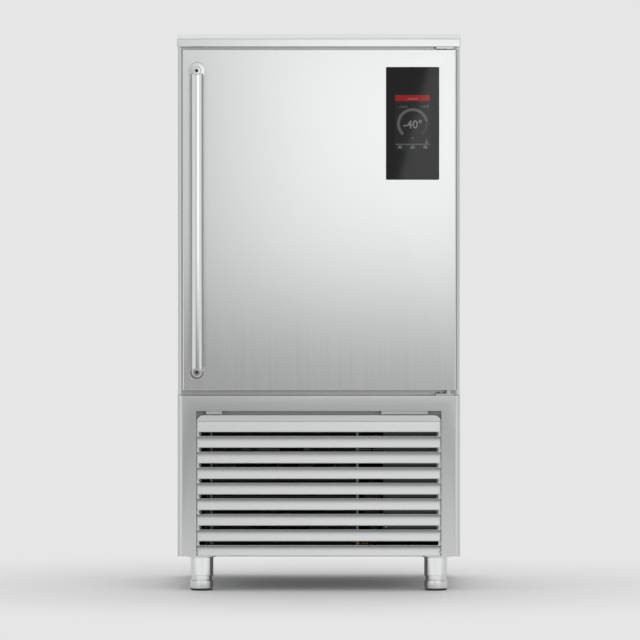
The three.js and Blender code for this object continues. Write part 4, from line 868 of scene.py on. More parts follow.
class CHILLER_OT_control(Builder):
    """Makes the control glass and the lit screen in it."""

    bl_idname = "chiller.control"
    bl_label = "Control glass"
    hair = 0.03 * MM  # the thickness of one layer of the screen

    def build(self, scene):
        display = scene.chiller_display
        lo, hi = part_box("control_glass")
        bm = bmesh.new()
        plate(bm, "y", (hi.y, lo.y), outline(lo, hi), 3 * MM)
        eased(bm, 0.7 * MM, 3, 60)
        finished(bm, "control_glass_pane", "door", tinted_glass(), ["control_glass"])
        self.front = lo.y
        middle, top = (lo.x + hi.x) / 2, hi.z - 77 * MM
        foot = top - display.height
        title, keys = top - 16 * MM, foot + 13 * MM  # the foot of the title bar and the top of the key bar

        def band(name, colour, layer, low, high):
            """A stripe over the screen's full width."""
            half = display.width / 2
            self.flat("screen_" + name, colour, layer, [rectangle((middle - half, low), (middle + half, high))])

        band("ground", "#1C1A1B", 1, foot, top)
        band("title_bar", "#8A1518", 2, title, top)
        band("title_shade", "#3C1013", 2, title - 3 * MM, title)
        label = rectangle((middle - 14 * MM, title + 3 * MM), (middle + 14 * MM, title + 8 * MM))
        self.flat("screen_title_label", "#9C4549", 3, [label], 1.5 * MM)
        band("foot_line", "#4A4E50", 2, keys, keys + 4 * MM)
        band("foot_bar", "#161819", 2, foot, keys)
        self.marks(middle, top, foot)
        self.dial(display, (middle, top - 79 * MM))
        self.figure(display, (middle, top - 80 * MM))
        recut("control_module", "display_module", moulded_black(), 0.6 * MM)

    def flat(self, name, colour, layer, shapes=(), radius=0.0, bm=None):
        """A lit shape of the screen, a hair in front of the glass."""
        bm = bm or bmesh.new()
        for corners in shapes:
            plate(bm, "y", (self.front - self.hair * (layer - 1), self.front - self.hair * layer), corners, radius)
        material = surface("screen_" + colour[1:].lower(), colour, 0.05, 0.0, (40, 40, 40), 0.02, 0.0, 1, 0.01, 0.12)
        finished(bm, name, "door", material)

    def marks(self, middle, top, foot):
        """Plain signs: bars of a clock and a meter, a drop, an arrow, and three keys on the foot bar."""
        def box(x, z, width, height):
            """A bar, its size in millimetres."""
            return rectangle((x, z), (x + width * MM, z + height * MM))

        def wedge(x, z, half, height):
            """A triangle pointing up, its size in millimetres."""
            return [(x - half * MM, z), (x + half * MM, z), (x, z + height * MM)]

        signs = []
        for x, heights in ((-37, (3, 6, 4, 7, 5)), (26, (5, 8, 5, 9))):
            signs += [box(middle + (x + 5 * i) * MM, top - 35 * MM, 2.6, tall) for i, tall in enumerate(heights)]
        signs += [box(middle - 3 * MM, top - 121 * MM, 6, 4), wedge(middle + 39 * MM, top - 134 * MM, 5, 16)]
        self.flat("screen_signs", "#575555", 2, signs)
        keys = []
        for x in (middle + step * MM for step in (-35, 0, 35)):
            keys += [box(x - 6 * MM, foot + 4 * MM, 12, 4), wedge(x, foot + 9 * MM, 6, 4)]
        self.flat("screen_keys", "#626668", 3, keys)

    def dial(self, display, centre):
        """A ring open at its foot, the reached part brighter than the rest."""
        for name, colour, first, last in (("reached", "#585656", -138, 81), ("rest", "#333132", 84, 138)):
            bm = bmesh.new()
            y = self.front - self.hair
            inner, outer = display.dial - display.dial_width, display.dial
            turn = math.radians(first)
            start = chain(bm, [(centre[0] + r * math.sin(turn), y, centre[1] + r * math.cos(turn))
                               for r in (inner, outer)])
            folded(bm, start, "y", (centre[0], y, centre[1]), last - first, (last - first) // 3)
            pulled(bm, bm.faces[:], (0, -self.hair, 0))
            self.flat("screen_dial_" + name, colour, 2, bm=bm)

    def figure(self, display, centre):
        """The dial's number, cut from the plain built-in lettering."""
        words = bpy.data.curves.new("figure", "FONT")
        words.body = display.figure
        words.extrude = 0.5
        words.resolution_u = 3
        words.offset = 0.012  # a touch bolder
        text = bpy.data.objects.new("figure", words)
        bpy.context.scene.collection.objects.link(text)
        bpy.context.view_layer.update()
        bm = bmesh.new()
        bm.from_mesh(text.to_mesh())
        text.to_mesh_clear()
        bpy.data.objects.remove(text)
        bpy.data.curves.remove(words)
        tidy(bm)
        low, high = (Vector([kind(v.co[i] for v in bm.verts) for i in range(3)]) for kind in (min, max))
        scale = display.figure_height / (high.y - low.y)
        for v in bm.verts:
            x, z = (v.co.x - (low.x + high.x) / 2) * scale, (v.co.y - (low.y + high.y) / 2) * scale
            v.co = (centre[0] + x, self.front - self.hair * (1.5 + v.co.z), centre[1] + z)
        bmesh.ops.recalc_face_normals(bm, faces=bm.faces)
        self.flat("screen_figure", "#7C7A7A", 2, bm=bm)


class CHILLER_OT_front(Builder):
    """Folds the frame of the machine compartment's front and presses its louvred panel."""

    bl_idname = "chiller.front"
    bl_label = "Louvred front"

    def build(self, scene):
        lo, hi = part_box("louvre_panel")
        self.aperture = hi.x - 1 * MM  # the pins reach 1 mm into the frame
        self.half = self.aperture - 0.8 * MM
        self.frame_sheet(hi)
        self.panel(scene.chiller_louvres, lo, hi)

    def frame_sheet(self, panel_hi):
        """A sheet with an opening for the panel, folded back round it, with stop lips, a shelf and two catches."""
        lo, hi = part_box("lower_front_frame")
        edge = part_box("side_panel_right")[1].x - 14.3 * MM  # just inside the side sheets' folds
        side, top, wall = self.aperture, panel_hi.z + 12 * MM, 1.5 * MM
        bm = bmesh.new()
        corners = [(-edge, lo.z), (-side, lo.z), (-side, top), (side, top), (side, lo.z), (edge, lo.z), (edge, hi.z),
                   (-edge, hi.z)]
        filled(bm, loop(bm, "y", lo.y, corners), "y")
        inner = [e for e in bm.edges if e.is_boundary and all(abs(v.co.x) < side + 1e-6 and v.co.z < top + 1e-6
                                                              for v in e.verts)]
        drawn(bm, inner, (0, 25 * MM, 0))
        faced(bm, -AXES["y"], lambda f: abs(f.normal.y))
        eased(bm, 0.7 * MM, 3, 60)
        finished(bm, "compartment_frame", "cabinet", brushed_level(), ["lower_front_frame"],
                 wall=wall)
        lip, foot = 13 * MM, lo.z + 45 * MM  # the lips end above the pivots, where the panel's foot swings
        corners = [(-side, foot), (-side, top), (side, top), (side, foot), (side - lip, foot), (side - lip, top - lip),
                   (lip - side, top - lip), (lip - side, foot)]
        bm = bmesh.new()
        plate(bm, "y", (panel_hi.y + 1 * MM, panel_hi.y + 4 * MM), corners)
        eased(bm, 0.6 * MM, 2, 60)
        finished(bm, "panel_stop_strip", "cabinet", moulded_grey())
        bm = bmesh.new()
        plate(bm, "z", (hi.z, hi.z - wall), rectangle((lo.x, lo.y + wall), (hi.x, hi.y)), 12 * MM, (), 8)
        eased(bm, 0.8 * MM, 2, 60)
        finished(bm, "frame_shelf", "cabinet", satin_steel())
        bm = bmesh.new()
        catches = ((27 * MM - side, 71 * MM - side), (side - 166 * MM, side - 37 * MM))  # a short one and a long one
        for left, right in catches:
            block(bm, (left, lo.y + 3 * MM, panel_hi.z + 2 * MM), (right, lo.y + 14 * MM, top - 0.2 * MM))
        eased(bm, 0.8 * MM, 2, 60)
        finished(bm, "panel_catches", "cabinet", moulded_grey())

    def profile(self, louvres, lo, hi, slots):
        """The panel's upright section as (y, z): a flat lip, then a swelling slat and a slot by turns."""
        gap, roll, deep = louvres.slot_height / 2, 2.6 * MM, lo.y + louvres.bulge
        steps, even = 16, 0.65  # points along a slat, and the share of its rise that is even from top to foot
        path = [(lo.y, hi.z), (lo.y, hi.z - louvres.lip), (lo.y + 0.5 * MM, hi.z - louvres.lip - 0.5 * MM)]
        top, start = hi.z - louvres.lip - 2 * MM, 0.6  # the first slat starts part of the way down its swell
        for z in slots + [None]:
            foot = lo.z if z is None else z + gap
            for i in range(steps + 1):
                down = start + (1 - start) * i / steps
                rise = even * down + (1 - even) * (1 - (1 - down) ** 5)
                path.append((deep - louvres.bulge * rise, top + (foot + roll - top) * i / steps))
            for angle in (math.radians(turn) for turn in (25, 50, 75)):
                path.append((lo.y + roll * (1 - math.cos(angle)), foot + roll * (1 - math.sin(angle))))
            if z is None:
                path.append((lo.y + roll + 1 * MM, lo.z))
            else:
                path += [(deep - 3 * MM, z + gap + 0.2 * MM), (deep, z + gap + 0.8 * MM), (deep, z - gap)]
                top, start = z - gap - 0.8 * MM, 0.0
        return path

    def cut_slot(self, bm, louvres, deep, z):
        """Opens a slot with round ends in the band of faces at a height."""
        def level(face, height, within):
            """Whether a face's middle lies at a height."""
            return abs(face.calc_center_median().z - height) < within

        band = next(f for f in bm.faces if abs(f.calc_center_median().x) < 1e-4 and level(f, z, 1 * MM))
        high, low = max(v.co.z for v in band.verts), min(v.co.z for v in band.verts)
        middle = (high + low) / 2
        bmesh.ops.dissolve_faces(bm, faces=[f for f in bm.faces if level(f, middle, 1e-5)])
        row = next(f for f in bm.faces if level(f, middle, 1e-5) and f.calc_area() > 0.005)
        rim = list(row.edges)
        bmesh.ops.delete(bm, geom=[row], context="FACES_ONLY")
        reach = self.half - louvres.slot_inset
        ring = loop(bm, "y", deep, rectangle((-reach, low + 0.3 * MM), (reach, high - 0.3 * MM)),
                    louvres.slot_height / 2 - 0.9 * MM, 8)
        filled(bm, rim + ring, "y")

    def panel(self, louvres, lo, hi):
        """Slats that lean forward to a rolled lower edge, closed at their ends, with a rim turned back all round."""
        half, deep, r = self.half, lo.y + louvres.bulge, louvres.corner
        pitch = (hi.z - louvres.first_drop - lo.z - louvres.last_rise) / (louvres.slots - 1)
        slots = [hi.z - louvres.first_drop - i * pitch for i in range(louvres.slots)]
        bm = bmesh.new()
        edges = chain(bm, [(-half, y, z) for y, z in self.profile(louvres, lo, hi, slots)])
        steps = [step * MM for step in (0, 0.8, 1.8, 3.2, 5.0, 7.5)]  # where a slat's end is closed
        closing = 0.4  # how far the swell is drawn back at the very end
        columns = [step - half for step in steps] + [half - step for step in reversed(steps)]
        for a, b in zip(columns, columns[1:]):
            edges = drawn(bm, edges, (b - a, 0, 0))
        for z in slots:
            self.cut_slot(bm, louvres, deep, z)
        for v in bm.verts:
            over = 1 - (half - abs(v.co.x)) / steps[-1]
            if over > 0 and v.co.z < hi.z - louvres.lip - 1 * MM:
                v.co.y = deep - (deep - v.co.y) * math.sqrt(1 - closing * over ** 2)
        for side in (-1, 1):
            centre = Vector((side * (half - r), 0, hi.z - r))
            for turn in (9, 27, 45, 63, 81):  # a round corner as five chords
                out = Vector((side * math.cos(math.radians(turn)), 0, math.sin(math.radians(turn))))
                cut(bm, centre + out * r, out, True)

        def is_rim(edge):
            """Whether an edge lies along the panel's outer border."""
            return edge.is_boundary and (lies(edge, "z", hi.z, 1e-5) or lies(edge, "z", lo.z, 1e-5)
                                         or all(abs(v.co.x) > half - 1e-5 for v in edge.verts)
                                         or all(abs(v.co.x) > half - r - 1e-5 and v.co.z > hi.z - r - 1e-5
                                                for v in edge.verts))

        for v in ends(drawn(bm, [e for e in bm.edges if is_rim(e)], (0, 0, 0))):
            v.co.y = hi.y
        lip = Vector((0, lo.y, hi.z - louvres.lip / 2))
        faced(bm, -AXES["y"], lambda f: -abs(f.calc_center_median().z - lip.z) - abs(f.calc_center_median().y - lip.y))
        finished(bm, "louvre_sheet", "louvre_front", pressed_steel(), ["louvre_panel"], 40,
                 wall=1.5 * MM)
        bm = bmesh.new()
        for side in (-1, 1):
            pin = scaled([(0, 0), (3, 0), (3, 6.4), (2.4, 7), (0, 7)], 0, side)
            turned(bm, "x", (side * (hi.x - 7 * MM), lo.y + 4 * MM, lo.z + 12 * MM), pin, 20)
        finished(bm, "louvre_pivot_pins", "louvre_front", satin_steel())


class CHILLER_OT_feet(Builder):
    """Turns the four feet: a fixed sleeve and an insert that screws in and out of it."""

    bl_idname = "chiller.feet"
    bl_label = "Feet"

    def build(self, scene):
        for place in ("front_left", "front_right", "rear_left", "rear_right"):
            centre = (*centre_of("foot_sleeve_" + place, "xy"), 0)
            self.sleeve(place, centre)
            self.insert(place, centre)

    def sleeve(self, place, centre):
        """A tube under a round flange, open at its foot for the insert."""
        lo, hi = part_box("foot_sleeve_" + place)
        flange = (hi.x - lo.x) / 2
        profile = [(0, hi.z), (flange - 0.6 * MM, hi.z), (flange, hi.z - 0.8 * MM), (flange, hi.z - 3 * MM),
                   (flange - 1.4 * MM, hi.z - 4 * MM)]
        profile += scaled([(33.2, -4), (32.3, -4.4), (32, -5.4)], hi.z)
        profile += scaled([(32, 1.2), (31.6, 0.3), (30.8, 0), (29.6, 0), (29.4, 0.8)], lo.z)
        bm = bmesh.new()
        turned(bm, "z", centre, profile + scaled([(29.4, -6), (0, -6)], hi.z), 72)
        # The feet's steel is tinted lighter than the rest of the steel as a painted highlight.
        finished(bm, "foot_tube_" + place, "cabinet", turned_steel(), ["foot_sleeve_" + place])

    def insert(self, place, centre):
        """The steel pad with its neck inside the sleeve, on a rubber sole."""
        top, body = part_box("foot_insert_" + place)[1].z, "foot_" + place
        pad = scaled([(0, 5), (28, 5), (28, 6), (31, 6), (32, 7.5), (32, 26.6), (31.5, 27.6), (30.5, 28), (29, 28),
                      (28.6, 28.8), (28.9, 30)])
        bm = bmesh.new()
        turned(bm, "z", centre, pad + scaled([(28.9, -1), (28, 0), (0, 0)], top), 72)
        finished(bm, "foot_pad_" + place, body, turned_steel(), ["foot_insert_" + place])
        sole = scaled([(0, 0), (26, 0), (28.6, 0.6), (30.4, 2.4), (30.8, 5), (30.2, 5.9), (0, 5.9)])
        bm = bmesh.new()
        turned(bm, "z", centre, sole, 72)
        finished(bm, "foot_sole_" + place, body, rubber())


class CHILLER_OT_hinges(Builder):
    """Makes the two hinge brackets with their pins."""

    bl_idname = "chiller.hinges"
    bl_label = "Hinges"

    def build(self, scene):
        for place, up in (("bottom", 1), ("top", -1)):
            lo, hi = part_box("hinge_bracket_" + place)
            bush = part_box("hinge_bush_" + place)
            centre = centre_of("hinge_bush_" + place, "xy")
            root = lo.z if up > 0 else hi.z
            face = (bush[0].z if up > 0 else bush[1].z) - up * 0.3 * MM
            bm = bmesh.new()
            plate(bm, "z", (root, root + up * 5 * MM), outline(lo, hi, "xy"), 6 * MM)
            eased(bm, 0.7 * MM, 2, 60)
            reach, collar = hi.z - lo.z, abs(face - root)
            profile = [(0, 0), (10 * MM, 0), (10 * MM, collar - 0.8 * MM), (9.2 * MM, collar), (6 * MM, collar),
                       (6 * MM, reach - 1.5 * MM), (4.5 * MM, reach), (0, reach)]
            turned(bm, "z", (*centre, root), [(r, up * t) for r, t in profile], 32)
            head = scaled([(0, 5), (5, 5), (4.8, 6.2), (3, 7.4), (1.4, 7.6), (1.4, 6.2), (0, 6.2)], 0, up)
            for x in (lo.x + 11 * MM, lo.x + 27 * MM):
                turned(bm, "z", (x, hi.y - 16 * MM, root), head, 20)
            finished(bm, "hinge_leaf_and_pin_" + place, "cabinet", satin_steel(), ["hinge_bracket_" + place])
            recut("hinge_bush_" + place, "hinge_sleeve_" + place, moulded_grey())


class CHILLER_OT_chamber(Builder):
    """Draws the liner with its coved corners, the tray racks and the drain with its strainer."""

    bl_idname = "chiller.chamber"
    bl_label = "Chamber"

    def build(self, scene):
        self.liner(scene.chiller_shell)
        for side, node in ((-1, "tray_rack_left"), (1, "tray_rack_right")):
            self.rack(scene.chiller_racks, side, node)
        self.drain()

    def liner(self, shell):
        """One welded box of sheet, coved along its edges and round its rear wall, with the holes for pipe and drain."""
        lo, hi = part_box("inner_liner")
        riser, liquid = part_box("suction_pipe")[1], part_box("liquid_pipe")[1]
        bm = bmesh.new()
        rim = loop(bm, "y", lo.y, outline(lo, hi), shell.liner_corner + 1 * MM, 10)
        filled(bm, drawn(bm, rim, (0, hi.y - lo.y, 0)), "y")
        eased(bm, 12 * MM, 5, 60, lambda e: lies(e, "y", hi.y, 1e-5))
        floor = min((f for f in bm.faces if f.calc_area() > 0.2), key=lambda f: f.calc_center_median().z)
        edges = list(floor.edges)
        bmesh.ops.delete(bm, geom=[floor], context="FACES_ONLY")
        edges += circle(bm, "z", lo.z, centre_of("drain_pipe", "xy"), 12.3 * MM, 24)
        hole = rectangle((riser.x - 22 * MM, riser.y - 22 * MM), (riser.x + 4 * MM, liquid.y + 4 * MM))
        filled(bm, edges + loop(bm, "z", lo.z, hole), "z")
        faced(bm, AXES["y"], lambda f: f.calc_center_median().y + f.calc_area())
        finished(bm, "chamber_liner", "cabinet", satin_steel(), ["inner_liner"], wall=1 * MM)

    def rack(self, racks, side, node):
        """Ten folded runners with a turned-down nose, hung on three channels that stand off the wall."""
        lo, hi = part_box(node)
        inner, first, pitch = 302 * MM, 40, 72  # the channels' face, and the levels above the rack's foot in mm
        bm = bmesh.new()
        for level in range(racks.levels):
            top = lo.z + (first + pitch * level) * MM
            path = [(280.3, -4.5), (280.3, -0.8), (301, -0.8), (301, 16)]
            line = chain(bm, [(side * x * MM, lo.y, top + z * MM) for x, z in path])
            edges = rounded(bm, ends(line)[1:3], racks.bend, 3)
            for share in (0.02, 0.5, 0.98, 1.0):
                shift = lo.y + (hi.y - lo.y) * share - edges[0].verts[0].co.y
                edges = drawn(bm, edges, (0, shift, 0))
        bmesh.ops.recalc_face_normals(bm, faces=bm.faces)
        finished(bm, node + "_runners", "cabinet", satin_steel(), [node], 50, wall=1.5 * MM)
        bm = bmesh.new()
        for y in (lo.y + 6 * MM, (lo.y + hi.y) / 2, hi.y - 6 * MM):
            block(bm, (side * inner, y - 6 * MM, lo.z), (side * (inner + 2 * MM), y + 6 * MM, hi.z))
            for edge in (-6, 4.5):
                block(bm, (side * (inner + 1 * MM), y + edge * MM, lo.z),
                      (side * (inner + 10 * MM), y + (edge + 1.5) * MM, hi.z))
            spacer = scaled([(0, 0), (5.5, 0), (5.5, 20), (8, 21.5), (8, 25), (7, 27.4), (0, 27.4)], 0, side)
            for z in (lo.z + 6 * MM, hi.z - 6 * MM):
                turned(bm, "x", (side * inner, y, z), spacer, 20)
        eased(bm, 0.4 * MM, 1, 60)
        finished(bm, node + "_uprights", "cabinet", satin_steel())

    def drain(self):
        """The flanged outlet under a dished strainer with a ring of holes."""
        lo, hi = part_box("drain_pipe")
        centre = centre_of("drain_pipe", "xy")
        outer, r, wall, hole = (hi.x - lo.x) / 2, 12 * MM, 2 * MM, 1.3 * MM
        profile = [(r - wall, lo.z), (r, lo.z), (r, hi.z - 2.6 * MM), (outer - 0.8 * MM, hi.z - 2.2 * MM),
                   (outer, hi.z - 1.4 * MM), (outer - 0.6 * MM, hi.z - 0.4 * MM), (outer - 3 * MM, hi.z),
                   (r - wall, hi.z - 0.8 * MM), (r - wall, lo.z)]
        bm = bmesh.new()
        turned(bm, "z", (*centre, 0), profile, 40)
        finished(bm, "drain_tube", "cabinet", moulded_grey(), ["drain_pipe"])
        holes = [(centre[0] + 6 * MM * math.cos(turn), centre[1] + 6 * MM * math.sin(turn))
                 for turn in (math.tau * i / 8 for i in range(8))]
        bm = bmesh.new()
        edges = circle(bm, "z", hi.z - 2 * MM, centre, r - wall - 0.2 * MM)
        for spot in holes + [centre]:
            edges += circle(bm, "z", hi.z - 2 * MM, spot, hole, 10)
        pulled(bm, filled(bm, edges, "z"), (0, 0, 0.8 * MM))
        finished(bm, "drain_strainer", "cabinet", satin_steel())


class Cooler(Builder):
    """Shared shapes of the two fan-and-coil sets."""

    bl_idname = "chiller.cooler"
    bl_label = "Fan and coil"

    def coil(self, cooling, node, name, rear, fins, tube, ports):
        """A block of thin fins on rows of tube, between two flanged end plates, with its return bends and ports."""
        lo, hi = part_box(node)
        left, right = lo.x + 16.5 * MM, hi.x - 4 * MM
        wall = 5 * MM
        bm = bmesh.new()
        count = round((right - left - 2 * wall) / cooling.fin_pitch)
        for i in range(1, count):
            x = left + wall + (right - left - 2 * wall) * i / count
            block(bm, (x - cooling.fin / 2, lo.y + wall, lo.z + wall), (x + cooling.fin / 2, rear - wall, hi.z - wall))
        finished(bm, name + "_fins", "cabinet", fins, [node])
        bm = bmesh.new()
        for x, side in ((left, 1), (right - 1.5 * MM, -1)):
            plate(bm, "x", (x, x + 1.5 * MM), rectangle((lo.y, lo.z), (rear, hi.z)), 3 * MM)
            for y in (lo.y, rear - 1.5 * MM):
                block(bm, (x, y, lo.z + 3 * MM), (x + side * 5 * MM, y + 1.5 * MM, hi.z - 3 * MM))
            if hi.y - rear > 5 * MM:
                for z in (lo.z, hi.z - 60 * MM):
                    block(bm, (x, rear - 2 * MM, z + 2 * MM), (x + 1.5 * MM, hi.y, z + 58 * MM))
        eased(bm, 0.4 * MM, 1, 60)
        finished(bm, name + "_end_plates", "cabinet", galvanised())
        bm = bmesh.new()
        bend, r, row = 12 * MM, cooling.tube, 18 * MM  # row: from the coil's middle to each of its two rows
        middle, pitch = (lo.y + rear) / 2, 48 * MM
        levels = [lo.z + 28 * MM + pitch * i for i in range(int((hi.z - lo.z - 40 * MM) / pitch) + 1)]
        for y in (middle - row, middle + row):
            for z in levels:
                for end in (z - bend, z + bend):
                    rod(bm, (left - 1 * MM, y, end), (right + 2.5 * MM, y, end), r, 10)
                folded(bm, circle(bm, "x", left, (y, z - bend), r, 10), "y", (left, y, z), 180)
        tidy(bm)
        finished(bm, name + "_tubes", "cabinet", tube)
        bm = bmesh.new()
        for y, z, size in ports:
            rod(bm, (right - 4 * MM, y, z), (hi.x, y, z), size)
            hoop(bm, "x", (right + 0.6 * MM, y, z), size + 0.4 * MM, 1.2 * MM, 24, 8)
        finished(bm, name + "_ports", "cabinet", copper())

    def fan(self, cooling, node, motor, name):
        """A hub with swept, cambered and twisted blades whose tips follow the ring they run in."""
        lo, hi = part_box(node)
        x, z = centre_of(motor, "xz")
        hub, root, depth = 32 * MM, 28.8 * MM, hi.y - lo.y
        wide = hi.x - x
        tip = min(wide / 0.9945, 142 * MM) if wide > 130 * MM else 128 * MM  # the box ends short of a round tip
        bm = bmesh.new()
        for i in range(cooling.blades):
            for v in bmesh.ops.create_grid(bm, x_segments=10, y_segments=8, size=0.5)["verts"]:
                u, w = v.co.x + 0.5, v.co.y
                r = root + (tip - root) * u
                spread = math.radians(58 - 12 * u) * (1 - 0.25 * (2 * abs(w)) ** 4 * u)
                turn = w * spread + math.radians(18) * u * u + math.tau * i / cooling.blades
                lean = (depth - 3 * MM) * (1 - 0.35 * u)
                y = (lo.y + hi.y) / 2 + lean * w - 2.2 * MM * (1 - 4 * w * w)
                v.co = (x + r * math.cos(turn), y, z + r * math.sin(turn))
        bmesh.ops.recalc_face_normals(bm, faces=bm.faces)
        bmesh.ops.solidify(bm, geom=bm.faces[:], thickness=1.4 * MM)
        dome = [(0, lo.y), (hub * 0.45, lo.y), (hub * 0.8, lo.y + 2 * MM), (hub * 0.95, lo.y + 5 * MM),
                (hub, lo.y + 8 * MM), (hub, hi.y - 1 * MM), (hub - 1 * MM, hi.y), (0, hi.y)]
        turned(bm, "y", (x, 0, z), dome, 40)
        finished(bm, name, carrier(node), moulded_black(), [node], 40)

    def motor(self, node, name):
        """A drawn can with cooling ribs and a shaft, held by four bent straps."""
        lo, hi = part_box(node)
        x, z = centre_of(node, "xz")
        front, strap = hi.y - 50 * MM, 3 * MM
        reach = 141 * MM if hi.x - x < 110 * MM else 155 * MM  # past the small fans' holes, or the large one's
        arm = [(24 * MM, front), (reach - strap, front), (reach - strap, lo.y), (reach, lo.y),
               (reach, front + strap), (24 * MM, front + strap)]
        bm = bmesh.new()
        for i in range(4):
            first = len(bm.verts)
            plate(bm, "z", (-7 * MM, 7 * MM), arm)
            bm.verts.ensure_lookup_table()
            bmesh.ops.rotate(bm, verts=bm.verts[first:], cent=(0, 0, 0),
                             matrix=Matrix.Rotation(math.pi / 4 + i * math.pi / 2, 3, "Y"))
            bmesh.ops.translate(bm, verts=bm.verts[first:], vec=(x, 0, z))
        eased(bm, 0.8 * MM, 2, 60)
        finished(bm, name + "_straps", carrier(node), galvanised())
        profile = scaled([(0, 9), (5, 9)], lo.y) + scaled([(5, -1), (14, -0.4), (16, 0.2), (35, 1), (38, 4)], front)
        for rib in (12, 18, 24, 30, 36):
            profile += scaled([(38, -1.6), (36.4, -0.8), (36.4, 0.8), (38, 1.6)], front + rib * MM)
        profile += scaled([(38, -5), (36.5, -1.5), (33, 0), (12, 0), (10, -1.5), (0, -1.5)], hi.y)
        bm = bmesh.new()
        turned(bm, "y", (x, 0, z), profile, 40)
        finished(bm, name + "_can", carrier(node), black_enamel(), [node])


class CHILLER_OT_evaporator(Cooler):
    """Makes the evaporator, its shroud, wire guard, fans and motors."""

    bl_idname = "chiller.evaporator"
    bl_label = "Evaporator"

    def build(self, scene):
        cooling = scene.chiller_cooling
        lo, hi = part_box("evaporator_coil")
        ports = [(lo.y + 23.4 * MM, lo.z + 21 * MM, 9 * MM), (lo.y + 58.5 * MM, hi.z - 17 * MM, 5 * MM)]
        rear = hi.y - 11.7 * MM  # the brackets at the coil's ends reach further back
        self.coil(cooling, "evaporator_coil", "evaporator", rear, fin_metal(), copper(), ports)
        self.centres = [centre_of("evaporator_fan_motor_" + place, "xz") for place in ("lower", "upper")]
        for place in ("lower", "upper"):
            motor = "evaporator_fan_motor_" + place
            self.fan(cooling, "evaporator_fan_" + place, motor, "evaporator_blades_" + place)
            self.motor(motor, "evaporator_motor_" + place)
        self.shroud()
        self.guard(cooling)

    def shroud(self):
        """A shallow pan with two rolled fan holes and a lip that seats on the coil."""
        lo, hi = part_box("fan_shroud")
        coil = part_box("evaporator_coil")
        bm = bmesh.new()
        outer = loop(bm, "y", lo.y, outline(lo, hi), 6 * MM)
        rings = [circle(bm, "y", lo.y, centre, 138 * MM, 64) for centre in self.centres]
        filled(bm, outer + rings[0] + rings[1], "y")
        for ring, centre in zip(rings, self.centres):
            rolled(bm, ring, centre, 138 * MM, 135 * MM, 5 * MM)
        back = drawn(bm, outer, (0, hi.y - lo.y, 0))
        mouth = rectangle((coil[0].x + 29.5 * MM, coil[0].z + 8 * MM), (coil[1].x - 17 * MM, coil[1].z - 8 * MM))
        filled(bm, back + loop(bm, "y", hi.y, mouth), "y")
        faced(bm, -AXES["y"], lambda f: f.calc_area() - f.calc_center_median().y)
        eased(bm, 2 * MM, 3, 60, lambda e: lies(e, "y", lo.y))
        finished(bm, "evaporator_shroud", "cabinet", satin_steel(), ["fan_shroud"], 40,
                 wall=1.5 * MM)
        bm = bmesh.new()
        spots = [(x, z) for x in (lo.x + 14 * MM, hi.x - 14 * MM)
                 for z in (lo.z + 20 * MM, (lo.z + hi.z) / 2, hi.z - 20 * MM)]
        screw_heads(bm, "y", lo.y, -3.2 * MM, spots, 7 * MM)
        finished(bm, "shroud_thumb_screws", "cabinet", polished_steel())

    def guard(self, cooling):
        """Rings and spokes of wire welded in front of both fans."""
        lo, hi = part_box("fan_guard")
        y, r = (lo.y + hi.y) / 2, cooling.wire / 2
        outer = (hi.x - lo.x) / 2 - r
        bm = bmesh.new()
        rings = int((outer - 30 * MM) / cooling.guard_pitch)
        for x, z in self.centres:
            middle = Vector((x, y, z))
            for i in range(rings + 1):
                thickness = r if i in (0, rings) else 0.8 * r
                hoop(bm, "y", middle, outer - i * cooling.guard_pitch, thickness, 56)
            for turn in (30, 90, 150):
                reach = Vector((math.cos(math.radians(turn)), 0, math.sin(math.radians(turn)))) * outer
                rod(bm, middle - reach, middle + reach, r, 8)
        for x in (-outer / 2, outer / 2):
            rod(bm, (x, y, self.centres[0][1]), (x, y, self.centres[1][1]), r, 8)
        finished(bm, "fan_wire_guard", "cabinet", polished_steel(), ["fan_guard"], 40)


class CHILLER_OT_condenser(Cooler):
    """Makes the condenser with its shroud, fan and motor."""

    bl_idname = "chiller.condenser"
    bl_label = "Condenser"

    def build(self, scene):
        cooling = scene.chiller_cooling
        lo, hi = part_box("condenser_coil")
        middle = (lo.y + hi.y) / 2
        ports = [(middle, hi.z - 24 * MM, 6 * MM), (middle, lo.z + 29 * MM, 5 * MM)]
        # The coil's dark fins and tubes are painted shade for the dark behind the louvre slots.
        self.coil(cooling, "condenser_coil", "condenser", hi.y, coated_fin(), coated_fin(), ports)
        self.fan(cooling, "condenser_fan", "condenser_fan_motor", "condenser_blades")
        self.motor("condenser_fan_motor", "condenser_motor")
        self.shroud()

    def shroud(self):
        """A pan round the coil's rear with a rolled hole for the fan."""
        lo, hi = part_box("condenser_shroud")
        centre = centre_of("condenser_fan_motor", "xz")
        bm = bmesh.new()
        outer = loop(bm, "y", hi.y, outline(lo, hi), 5 * MM)
        ring = circle(bm, "y", hi.y, centre, 152 * MM, 64)
        filled(bm, outer + ring, "y")
        rolled(bm, ring, centre, 152 * MM, 149 * MM, -6 * MM)
        drawn(bm, outer, (0, lo.y - hi.y, 0))
        faced(bm, AXES["y"])
        eased(bm, 1.5 * MM, 3, 60, lambda e: lies(e, "y", hi.y))
        finished(bm, "condenser_fan_shroud", "cabinet", galvanised(), ["condenser_shroud"], 40,
                 wall=1.5 * MM)


